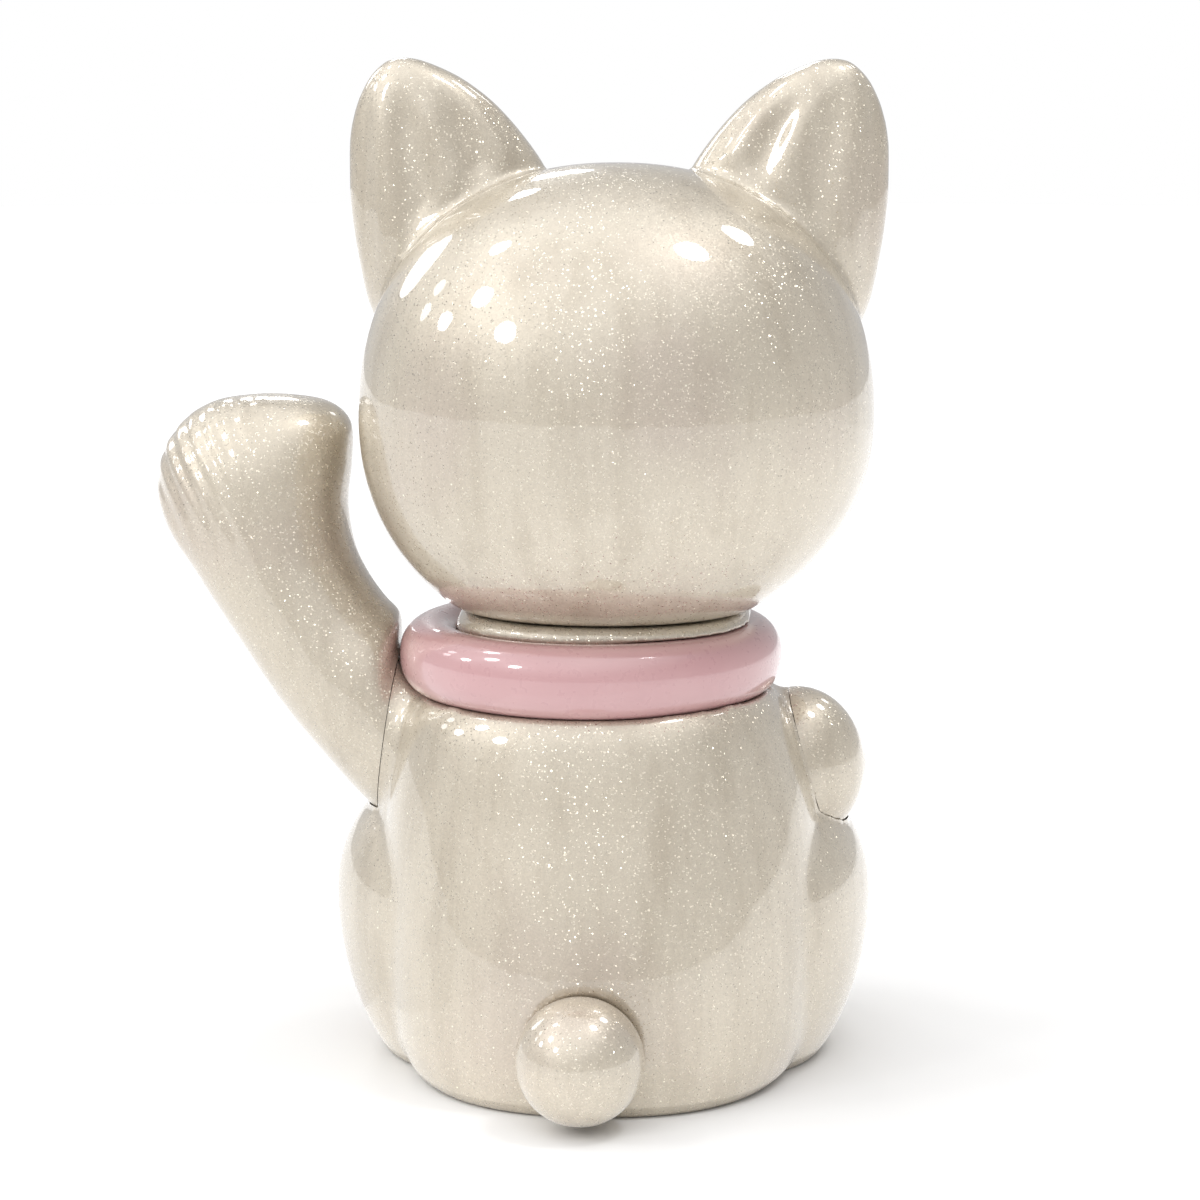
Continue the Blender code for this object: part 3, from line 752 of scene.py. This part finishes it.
def face_paint(points):
    """Distances to the painted shapes: eye whites, red parts and black parts."""
    x, z = on_face(points)
    behind = points[:, 1] - HEAD_Y + PAINT_FROM
    whites = []
    reds = [to_oval(x, z, NOSE, 3.3, 2.1)]
    blacks = [to_stroke(x, z, LIP_MIDDLE, 0.8)]
    for side in (-1, 1):
        sx = x * side
        eye = to_oval(sx, z, *EYE)
        pupil = to_oval(sx, z, *PUPIL)
        glint = to_oval(x, z, (side * PUPIL[0][0] + GLINT_OFFSET, GLINT_Z), *GLINT_RADII)
        whites.append(eye)
        blacks.append(np.maximum(eye - EYE_LINE, -eye - 0.05))
        blacks.append(np.maximum(np.maximum(pupil, eye), -glint))
        blacks.append(to_stroke(sx, z, LASH, 1.5, 0.9))
        blacks.append(to_stroke(sx, z, BROW, 1.7, 0.6))
        blacks.append(to_stroke(sx, z, LIP, 0.9, 0.4))
        blacks += [to_stroke(sx, z, whisker, 0.95, 0.8) for whisker in WHISKERS]
    front_only = [np.maximum(np.minimum.reduce(group), behind) for group in (whites, reds, blacks)]
    white, red, black = front_only
    for side in (-1, 1):
        hollow_x, _, hollow_z = hollow_middle(side)
        middle = (hollow_x - HEAD_X - FACE_X, hollow_z - 1.0)
        inside = to_oval(x, points[:, 2], middle, *INNER_EAR_RADII, side * INNER_EAR_TILT)
        red = np.minimum(red, np.maximum(inside, points[:, 1] + INNER_EAR_FROM))
    return white, red, black


def face_relief(points, white):
    """How far the eyes and the nose stand out of the face, and how deep the mouth is drawn in."""
    x, z = on_face(points)
    nose = to_oval(x, z, NOSE, 3.6, 2.4)
    mouth = np.minimum(to_stroke(np.abs(x), z, LIP, 0.2), to_stroke(x, z, LIP_MIDDLE, 0.2))
    height = 0.45 * (1 - step_up(white, -1.2, 0.6))
    height += 1.1 * (1 - step_up(nose, -1.6, 0.4))
    height += 0.5 * groove(np.maximum(mouth, 0), 0.8)
    return height * step_up(-points[:, 1], 20, 24)


def make_head(finish):
    adds = [skin(head_rings()), ear(1), ear(-1)]
    adds += [ball(HEAD_MIDDLE + Vector(place), radii) for place, radii in MUZZLE]
    cuts = [ball(hollow_middle(side), EAR_HOLLOW_RADII) for side in (-1, 1)]
    recess = [(-3, NECK_RADIUS + GAP), (2.5, NECK_RADIUS + GAP), (2.6, NECK_RECESS), (8, NECK_RECESS)]
    cuts.append(turned(NECK, (0, 0, 1), recess))
    mesh = moulded(adds, cuts, SHELL_VOXEL)
    points = points_of(mesh)
    front = step_up(-points[:, 1], 14, 18)
    fillet(mesh, 24, 1 - front)
    tips = step_up(points[:, 2], HEAD_HIGH.z - 7, HEAD_HIGH.z - 4)
    smooth(mesh, 16, tips)
    take_off_steps(mesh, 5, 12)
    points = points_of(mesh)
    white, red, black = face_paint(points)
    raise_by(mesh, ear_flutes(points) + face_relief(points, white))
    store(mesh, "paint_white", white)
    store(mesh, "paint_red", red)
    store(mesh, "paint_black", black)
    piece("head", mesh, "head", ["head_shell"], finish)


def make_raised_arm(finish):
    adds = [skin(raised_rings()), ball(RAISED_SEAT + Vector(PAW_CENTRE), PAW_RADII)]
    mesh = moulded(adds, [], ARM_VOXEL)
    fillet(mesh, 40)
    take_off_steps(mesh, 4, 10)
    points = points_of(mesh) - np.array(RAISED_SEAT)
    x, y, z = points.T
    palm = step_up(-y, 13, 17) * step_up(z, 27, 33)
    height = toe_grooves(points, PAW_CENTRE[0], spacing=7.6, width=1.0, depth=1.1, mask=palm)
    streak = np.sin((0.9 * x - 0.45 * z) * FULL_TURN / PAW_RIDGE_STEP + 1.2 * np.sin(z * 0.25))
    back = step_up(y, -8, -3) * step_up(x, 16, 22) * step_up(z, 24, 32)
    height += PAW_RIDGE_HEIGHT * streak * back
    raise_by(mesh, height)
    mesh = trimmed(mesh, [cylinder(RAISED_SEAT, RAISED_AXIS, -20, SEAM, 30)])
    piece("raised_arm", mesh, "raised_arm", ["raised_arm_shell"], finish)


def make_resting_arm(finish):
    rows = eased(RESTING_KEYS, ROWS_PER_KEY)
    middles = [RESTING_SEAT + Vector(row[:3]) for row in rows]
    rings = []
    for i, row in enumerate(rows):
        run = (middles[min(i + 1, len(rows) - 1)] - middles[max(i - 1, 0)]).normalized()
        side = np.array(run.cross(Vector((0, 0, 1))).normalized())
        rise = np.cross(side, np.array(run)) * row[3]
        rings.append(oval(middles[i], side * row[3], rise, -rise, 2, 96))
    steps = [
        (skin(torso_rings(SEAM)), "DIFFERENCE"),
        (haunch(-1, SEAM), "DIFFERENCE"),
        (shoulder(), "UNION"),
    ]
    mesh = combined(skin(rings), steps, ARM_VOXEL)
    fillet(mesh, 40)
    take_off_steps(mesh, 4, 10)
    points = points_of(mesh) - np.array(RESTING_SEAT)
    tip = RESTING_KEYS[-3]
    front = step_up(-points[:, 1], 34, 38) * step_up(points[:, 0], 6, 9)
    raise_by(mesh, toe_grooves(points, tip[0] - 2.6, spacing=5.4, width=0.8, depth=0.8, mask=front))
    mesh = trimmed(mesh, [
        cylinder(RESTING_SEAT, RESTING_AXIS, -24, SEAM, RESTING_SEAT_CUT),
        beyond(shoulder(SEAM), RESTING_SEAT + RESTING_AXIS * SEAM, -RESTING_AXIS),
    ])
    piece("resting_arm", mesh, "resting_arm", ["resting_arm_shell"], finish)


def make_tail(finish):
    stem = cylinder(TAIL_CENTRE, (0, -1, 0), TAIL_RADIUS - 1.5, TAIL_CENTRE.y - TAIL_LOW.y, 3.6, 48)
    mesh = moulded([ball(TAIL_CENTRE, (TAIL_RADIUS,) * 3, 96), stem], [], TAIL_VOXEL)
    take_off_steps(mesh, 3, 8)
    piece("tail", mesh, "tail", ["tail_ball"], finish)


# ---------------------------------------------------------------- collar and bell


def as_mesh(shape):
    mesh = bpy.data.meshes.new("shape")
    shape.to_mesh(mesh)
    shape.free()
    return mesh


def make_collar(finish):
    piece("collar", as_mesh(collar_ring()), "torso", ["collar_ring"], finish)
    x, _, eye = BELL_PIVOT
    top = COLLAR_HIGH.z - 2 * COLLAR_HALF_HEIGHT + LUG_RISE
    elbow = top - 1.5
    front = COLLAR_LOW.y + LUG_HALF_THICKNESS
    left, right = x - LUG_HALF_WIDTH, x + LUG_HALF_WIDTH
    adds = [
        block((left, front, top - 2.6), (right, LUG_ROOT_Y, top - 0.4)),
        block((left, front - LUG_HALF_THICKNESS, eye), (right, front + LUG_HALF_THICKNESS, elbow)),
        cylinder((x, front, eye), (0, 1, 0), -LUG_HALF_THICKNESS, LUG_HALF_THICKNESS, LUG_HALF_WIDTH, 48),
        cylinder((x, front + 0.6, elbow), (1, 0, 0), -LUG_HALF_WIDTH, LUG_HALF_WIDTH, 1.1, 48),
    ]
    hole = cylinder(BELL_PIVOT, (0, 1, 0), -3, 3, EYE_HOLE_RADIUS, 32)
    mesh = moulded(adds, [hole], LUG_VOXEL)
    smooth(mesh, 12)
    piece("collar_lug", mesh, "torso", [], finish)


def bell_half(middle, way, radius, rim):
    """One stamped half of the bell with a rolled rim, open towards the other half."""
    near_pole = math.radians(89)
    inner = radius - BELL_WALL
    profile = []
    for i in range(20):
        angle = near_pole * (1 - i / 20)
        profile.append((radius * math.sin(angle), radius * math.cos(angle)))
    profile.append((0.72, radius + 0.12))
    for i in range(9):
        angle = math.radians(80 - 160 * i / 8)
        profile.append((0.36 + 0.25 * math.sin(angle), rim - 0.25 + 0.25 * math.cos(angle)))
    profile.append((0.1, inner))
    for i in range(1, 21):
        angle = near_pole * i / 20
        profile.append((inner * math.sin(angle), inner * math.cos(angle)))
    return turned(middle, (0, 0, way), profile, 96)


def make_bell(finish):
    x, y = BELL_PIVOT.x, BELL_PIVOT.y
    middle = Vector((x, y, (UPPER_LOW.z + LOWER_HIGH.z) / 2))
    rim = (UPPER_HIGH.x - UPPER_LOW.x) / 2
    radius = middle.z - LOWER_LOW.z
    wire = (LINK_HIGH.x - LINK_LOW.x) / 2
    link_radius = (LINK_HIGH.z - LINK_LOW.z) / 2 - wire
    link_middle = (LINK_HIGH + LINK_LOW) / 2
    link = torus(link_middle, (1, 0, 0), link_radius, wire, wire, 2, 64, 20)
    piece("bell_ring", as_mesh(link), "bell", ["bell_link"], finish)
    eye_z = UPPER_HIGH.z - 1.6
    eye_adds = [
        block((x - 0.9, y - 0.5, middle.z + radius - 0.3), (x + 0.9, y + 0.5, eye_z)),
        cylinder((x, y, eye_z), (0, 1, 0), -0.5, 0.5, 1.6, 48),
    ]
    eye_hole = cylinder((x, y, eye_z), (0, 1, 0), -3, 3, EYE_HOLE_RADIUS, 32)
    eye = moulded(eye_adds, [eye_hole], BELL_EYE_VOXEL)
    smooth(eye, 6)
    piece("bell_eye", eye, "bell", [], finish)
    upper = as_mesh(bell_half(middle, 1, radius, rim))
    piece("bell_top", upper, "bell", ["bell_upper_half"], finish)
    low, high = middle.z - SLOT_END, middle.z - SLOT_START
    ends = (x - SLOT_HALF_LENGTH, x + SLOT_HALF_LENGTH)
    slot = [block((ends[0], y - SLOT_HALF_WIDTH, low), (ends[1], y + SLOT_HALF_WIDTH, high))]
    slot += [cylinder((end, y, 0), (0, 0, 1), low, high, SLOT_END_RADIUS, 32) for end in ends]
    lower = combined(bell_half(middle, -1, radius, rim), [(shape, "DIFFERENCE") for shape in slot])
    piece("bell_bottom", lower, "bell", ["bell_lower_half"], finish)
    pellet = frame["nodes"]["bell_pellet"]
    pellet.data.materials.clear()
    pellet.data.materials.append(finish)


# ---------------------------------------------------------------- materials


def node(tree, kind, inputs=None, **settings):
    """Add a node; inputs are values, or outputs of other nodes to link."""
    made = tree.nodes.new(kind)
    for key, value in settings.items():
        setattr(made, key, value)
    for key, value in (inputs or {}).items():
        if isinstance(value, bpy.types.NodeSocket):
            tree.links.new(value, made.inputs[key])
        else:
            made.inputs[key].default_value = value
    return made


def new_material(name):
    made = bpy.data.materials.new(name)
    made.use_nodes = True
    tree = made.node_tree
    return made, tree, tree.nodes["Principled BSDF"]


def mixed(tree, factor, first, second):
    """A colour between two colours."""
    made = node(tree, "ShaderNodeMix", data_type="RGBA")
    for index, value in ((0, factor), (6, first), (7, second)):
        if isinstance(value, bpy.types.NodeSocket):
            tree.links.new(value, made.inputs[index])
        elif index == 0:
            made.inputs[index].default_value = value
        else:
            made.inputs[index].default_value = (*value, 1.0)
    return made.outputs[2]


def ramp(tree, value, low, high):
    """0 where value is under low, 1 where it is over high."""
    made = node(tree, "ShaderNodeMapRange", {0: value, 1: low, 2: high}, interpolation_type="SMOOTHSTEP")
    return made.outputs[0]


def between(tree, value, at_low, at_high, low=0.0, high=1.0):
    """A number that runs from at_low where value is low to at_high where it is high."""
    return node(tree, "ShaderNodeMapRange", {0: value, 1: low, 2: high, 3: at_low, 4: at_high}).outputs[0]


def maths(tree, operation, first, second):
    return node(tree, "ShaderNodeMath", {0: first, 1: second}, operation=operation).outputs[0]


def vectors(tree, operation, first, second):
    return node(tree, "ShaderNodeVectorMath", {0: first, 1: second}, operation=operation).outputs[0]


def noise(tree, place, scale, detail):
    return node(tree, "ShaderNodeTexNoise", {"Vector": place, "Scale": scale, "Detail": detail}).outputs[0]


def bump(tree, height, strength, distance, under=None):
    inputs = {"Height": height, "Strength": strength, "Distance": distance}
    if under is not None:
        inputs["Normal"] = under
    return node(tree, "ShaderNodeBump", inputs).outputs[0]


def stretched_noise(tree, place, scale, length, lean, detail=4.0):
    """Noise drawn out along the direction in which the vinyl flowed."""
    flow = node(
        tree,
        "ShaderNodeMapping",
        {"Vector": place, "Rotation": (0.0, math.radians(lean), 0.0), "Scale": (1.0, 1.0, 1.0 / length)},
        vector_type="POINT",
    )
    made = node(
        tree,
        "ShaderNodeTexNoise",
        {"Vector": flow.outputs[0], "Scale": scale, "Detail": detail, "Roughness": 0.55},
    )
    return made.outputs[0]


def flake_cells(tree, place, scale):
    """Small cells: three random numbers for each, the same as a colour, and the distance within a cell."""
    cells = node(tree, "ShaderNodeTexVoronoi", {"Vector": place, "Scale": scale})
    colour = cells.outputs["Color"]
    return node(tree, "ShaderNodeSeparateColor", {0: colour}).outputs, colour, cells.outputs["Distance"]


# Colours of the vinyl and of its pale flakes, also used for the painted glints, the size of a fine flake
# in metres, and the grain of the coarse flakes that are painted pale as glints
GOLD_LIGHT = (0.58, 0.516, 0.412)
GOLD_DEEP = (0.435, 0.372, 0.28)
GOLD_ROSE = (0.50, 0.415, 0.35)
FLAKE_AND_GLINT = (0.98, 0.93, 0.76)
FLAKE_SIZE = 0.00018
GLINT_FLAKE_GRAIN = 0.42

# Under the flakes: how metallic the vinyl is, and how much its flakes tilt
BASE_METALLIC = 0.40
BASE_TILT = 0.16

COLLAR_LIGHT = (0.57, 0.33, 0.335)
COLLAR_DEEP = (0.545, 0.30, 0.31)
BRASS_BRIGHT = (0.86, 0.63, 0.27)
BRASS_DULL = (0.66, 0.45, 0.17)

# Face paints in the order in which they are laid on, how soft and how wavy their edges are in
# millimetres, and how much of the clear coat lies over them
PAINTS = [
    ("paint_white", (0.82, 0.79, 0.70)),
    ("paint_red", (0.60, 0.10, 0.09)),
    ("paint_black", (0.012, 0.011, 0.012)),
]
PAINT_EDGE = 0.06
PAINT_WAVER = 0.12
PAINT_COAT = 0.35


def flow_colour(tree, place, fine, lean):
    """Pale gold with deeper streaks along the flow and rosy clouds."""
    broad = stretched_noise(tree, place, 190.0, 7.0, lean)
    cloud = noise(tree, place, 34.0, 3.0)
    streak = maths(tree, "MULTIPLY", ramp(tree, broad, 0.42, 0.72), 0.55)
    colour = mixed(tree, streak, GOLD_LIGHT, GOLD_DEEP)
    colour = mixed(tree, maths(tree, "MULTIPLY", ramp(tree, cloud, 0.5, 0.75), 0.5), colour, GOLD_ROSE)
    return mixed(tree, maths(tree, "MULTIPLY", ramp(tree, fine, 0.5, 0.8), 0.3), colour, GOLD_DEEP)


def paint_over(tree, colour, fine):
    """Lay the painted shapes over a colour, and tell where the vinyl is still bare."""
    covered = None
    waver = maths(tree, "MULTIPLY", maths(tree, "SUBTRACT", fine, 0.5), PAINT_WAVER)
    for layer, paint in PAINTS:
        distance = node(tree, "ShaderNodeAttribute", attribute_name=layer).outputs["Fac"]
        inside = ramp(tree, maths(tree, "ADD", distance, waver), PAINT_EDGE, -PAINT_EDGE)
        colour = mixed(tree, inside, colour, paint)
        covered = inside if covered is None else maths(tree, "MAXIMUM", covered, inside)
    return colour, maths(tree, "SUBTRACT", 1.0, covered)


def gold_vinyl(name, lean=0.0, painted=False):
    """Pale gold vinyl full of fine flakes, with flow streaks and painted glints on a few coarse flakes,
    under a clear gloss.
    """
    made, tree, shader = new_material(name)
    place = node(tree, "ShaderNodeTexCoord").outputs["Object"]
    fine = stretched_noise(tree, place, 720.0, 11.0, lean)
    colour = flow_colour(tree, place, fine, lean)

    flake, flake_colour, _ = flake_cells(tree, place, 1 / FLAKE_SIZE)
    shade = between(tree, flake[1], 0.93, 1.07)
    shades = node(tree, "ShaderNodeCombineXYZ", {0: shade, 1: shade, 2: shade}).outputs[0]
    colour = vectors(tree, "MULTIPLY", colour, shades)
    bright = ramp(tree, flake[0], 0.90, 0.95)
    colour = mixed(tree, maths(tree, "MULTIPLY", bright, 0.3), colour, FLAKE_AND_GLINT)
    # Painted glints: a few coarse glitter flakes painted fully pale into the base colour to stand for
    # sparkle, a painted highlight rather than the flakes' own tone
    glint_flakes, _, from_middle = flake_cells(tree, place, GLINT_FLAKE_GRAIN / FLAKE_SIZE)
    painted_glint = maths(
        tree, "MULTIPLY", ramp(tree, glint_flakes[0], 0.985, 0.995), ramp(tree, from_middle, 0.42, 0.2)
    )
    colour = mixed(tree, painted_glint, colour, FLAKE_AND_GLINT)

    metallic = maths(tree, "MAXIMUM", BASE_METALLIC, maths(tree, "MULTIPLY", bright, 0.8))
    strength = maths(tree, "ADD", BASE_TILT, maths(tree, "MULTIPLY", bright, 0.55))
    if painted:
        colour, bare = paint_over(tree, colour, fine)
        metallic = maths(tree, "MULTIPLY", metallic, bare)
        strength = maths(tree, "MULTIPLY", bare, strength)
        tree.links.new(between(tree, bare, PAINT_COAT, 1.0), shader.inputs["Coat Weight"])

    tilt = vectors(tree, "SUBTRACT", flake_colour, (0.5, 0.5, 0.5))
    scaled = node(tree, "ShaderNodeVectorMath", {0: tilt, "Scale": strength}, operation="SCALE").outputs[0]
    relief = bump(tree, fine, 0.25, 0.00012)
    added = vectors(tree, "ADD", relief, scaled)
    facing = node(tree, "ShaderNodeVectorMath", {0: added}, operation="NORMALIZE").outputs[0]
    gloss = bump(tree, noise(tree, place, 90.0, 2.0), 0.35, 0.00025)

    tree.links.new(colour, shader.inputs["Base Color"])
    tree.links.new(metallic, shader.inputs["Metallic"])
    tree.links.new(facing, shader.inputs["Normal"])
    tree.links.new(bump(tree, fine, 0.12, 0.00005, gloss), shader.inputs["Coat Normal"])
    tree.links.new(between(tree, bright, 0.40, 0.22), shader.inputs["Roughness"])
    shader.inputs["Coat Weight"].default_value = 1.0
    shader.inputs["Coat Roughness"].default_value = 0.035
    shader.inputs["Coat IOR"].default_value = 1.8
    return made


def red_vinyl():
    """Thick glossy red paint on the collar, a little deeper where it has pooled."""
    made, tree, shader = new_material("red_vinyl")
    place = node(tree, "ShaderNodeTexCoord").outputs["Object"]
    cloud = noise(tree, place, 60.0, 4.0)
    fine = noise(tree, place, 900.0, 3.0)
    colour = mixed(tree, ramp(tree, cloud, 0.35, 0.7), COLLAR_LIGHT, COLLAR_DEEP)
    gloss = bump(tree, noise(tree, place, 45.0, 0.0), 0.25, 0.0003)
    tree.links.new(colour, shader.inputs["Base Color"])
    tree.links.new(gloss, shader.inputs["Normal"])
    tree.links.new(gloss, shader.inputs["Coat Normal"])
    tree.links.new(between(tree, fine, 0.22, 0.36), shader.inputs["Roughness"])
    shader.inputs["Coat Weight"].default_value = 1.0
    shader.inputs["Coat Roughness"].default_value = 0.03
    shader.inputs["Coat IOR"].default_value = 1.7
    return made


def brass():
    """Polished brass with fine scratches and a little tarnish."""
    made, tree, shader = new_material("bell_brass")
    place = node(tree, "ShaderNodeTexCoord").outputs["Object"]
    cloud = noise(tree, place, 260.0, 5.0)
    scratch = stretched_noise(tree, place, 2400.0, 14.0, 35.0, 2.0)
    colour = mixed(tree, ramp(tree, cloud, 0.4, 0.75), BRASS_BRIGHT, BRASS_DULL)
    tree.links.new(colour, shader.inputs["Base Color"])
    tree.links.new(between(tree, cloud, 0.12, 0.34, 0.3, 0.75), shader.inputs["Roughness"])
    tree.links.new(bump(tree, scratch, 0.15, 0.00004), shader.inputs["Normal"])
    shader.inputs["Metallic"].default_value = 1.0
    return made


# ---------------------------------------------------------------- stage, camera and light

FLOOR_RADIUS = 1.7
FLOOR_COLOURS = ((0.86, 0.86, 0.86), (0.88, 0.88, 0.877))


def make_floor():
    made, tree, shader = new_material("pale_floor")
    place = node(tree, "ShaderNodeTexCoord").outputs["Object"]
    tree.links.new(mixed(tree, noise(tree, place, 3.0, 3.0), *FLOOR_COLOURS), shader.inputs["Base Color"])
    shader.inputs["Roughness"].default_value = 0.6
    shader.inputs["Specular IOR Level"].default_value = 0.2
    mesh = bpy.data.meshes.new("floor")
    shape = bmesh.new()
    bmesh.ops.create_circle(shape, cap_ends=True, segments=96, radius=FLOOR_RADIUS)
    shape.to_mesh(mesh)
    shape.free()
    mesh.materials.append(made)
    floor = bpy.data.objects.new("floor", mesh)
    bpy.context.scene.collection.objects.link(floor)


CAMERA_PLACE = (-0.0350, 0.5718, 0.1657)
CAMERA_AIM = (0.0010, 0.0, 0.0672)
CAMERA_LENS = 121.8


def make_camera():
    data = bpy.data.cameras.new("camera")
    data.lens = CAMERA_LENS
    data.sensor_width = 36.0
    data.clip_start = 0.02
    data.clip_end = 60.0
    camera = bpy.data.objects.new("camera", data)
    camera.location = CAMERA_PLACE
    aim = Vector(CAMERA_AIM) - Vector(CAMERA_PLACE)
    camera.rotation_euler = aim.to_track_quat("-Z", "Y").to_euler()
    bpy.context.scene.collection.objects.link(camera)
    bpy.context.scene.camera = camera


# Lamps: azimuth from +X towards +Y, elevation, half the angle that one fills, brightness
LAMPS = [
    (-9.6, 55.5, 3.8, 11.0),
    (19.9, 39.9, 4.6, 11.0),
    (7.0, 25.6, 3.8, 12.0),
    (44.0, 29.0, 4.2, 13.0),
    (-10.6, 23.8, 3.0, 4.0),
    (-13.1, 31.9, 3.0, 4.0),
    (164.7, 67.8, 5.4, 17.0),
    (-144.4, 53.4, 5.4, 7.5),
    (-121.2, 36.0, 4.0, 4.5),
    (-79.9, 21.9, 4.4, 7.0),
    (-67.3, 38.0, 4.0, 6.5),
    (-44.1, 24.1, 9.0, 3.5),
]
LAMPS_AIM = Vector((0, 0, 0.075))
LAMP_DISTANCE = 6.0

# The room: direction of its pale ceiling, brightness there, at the horizon and overhead
CEILING = (0.23, 0.32, 0.92)
CEILING_GLOW = 1.15
HORIZON = (0.56, 0.56, 0.57)
OVERHEAD = (0.42, 0.42, 0.43)

# A low white card beside the figurine: middle, size and turn, in metres and degrees
CARD_PLACE = (-0.502, -0.058, 0.0015)
CARD_SIZE = (0.95, 0.80)
CARD_TURN = -24.3
CARD_BRIGHTNESS = 0.2


def add_area(name, place, turn):
    """An area light that the camera does not see."""
    data = bpy.data.lights.new(name, "AREA")
    light = bpy.data.objects.new(name, data)
    light.location = place
    light.rotation_euler = turn
    light.visible_camera = False
    bpy.context.scene.collection.objects.link(light)
    return data


def make_lights():
    """Small round ceiling lamps and a low white card."""
    for azimuth, elevation, half_angle, brightness in LAMPS:
        a, e = math.radians(azimuth), math.radians(elevation)
        away = Vector((math.cos(a) * math.cos(e), math.sin(a) * math.cos(e), math.sin(e)))
        turn = (-away).to_track_quat("-Z", "Y").to_euler()
        lamp = add_area("lamp", LAMPS_AIM + away * LAMP_DISTANCE, turn)
        lamp.shape = "DISK"
        radius = LAMP_DISTANCE * math.tan(math.radians(half_angle))
        lamp.size = 2 * radius
        lamp.energy = brightness * (math.pi * radius) ** 2
    card = add_area("card", CARD_PLACE, (math.pi, 0, math.radians(CARD_TURN)))
    card.shape = "RECTANGLE"
    card.size, card.size_y = CARD_SIZE
    card.energy = CARD_BRIGHTNESS * math.pi * CARD_SIZE[0] * CARD_SIZE[1]


def make_world():
    """A plain room with a soft pale ceiling, behind a white background."""
    world = bpy.data.worlds.new("room")
    world.use_nodes = True
    tree = world.node_tree
    place = node(tree, "ShaderNodeTexCoord").outputs["Generated"]
    height = node(tree, "ShaderNodeSeparateXYZ", {0: place}).outputs[2]
    room = mixed(tree, ramp(tree, height, 0.0, 0.6), HORIZON, OVERHEAD)
    towards = node(tree, "ShaderNodeVectorMath", {0: place, 1: CEILING}, operation="DOT_PRODUCT")
    glow = maths(tree, "MULTIPLY", ramp(tree, towards.outputs["Value"], 0.35, 1.0), CEILING_GLOW)
    room = vectors(tree, "ADD", room, glow)
    seen = node(tree, "ShaderNodeLightPath").outputs["Is Camera Ray"]
    back = tree.nodes["Background"]
    tree.links.new(mixed(tree, seen, room, (1.0, 1.0, 1.0)), back.inputs["Color"])
    back.inputs["Strength"].default_value = 1.0
    bpy.context.scene.world = world


bpy.context.scene.view_settings.view_transform = "Standard"
make_camera()
make_floor()
make_world()
make_lights()
gold = gold_vinyl("gold_vinyl")
make_body(gold)
make_head(gold_vinyl("gold_vinyl_painted", painted=True))
make_raised_arm(gold_vinyl("gold_vinyl_raised_arm", lean=-28.0))
make_resting_arm(gold_vinyl("gold_vinyl_resting_arm", lean=40.0))
make_tail(gold)
make_collar(red_vinyl())
make_bell(brass())
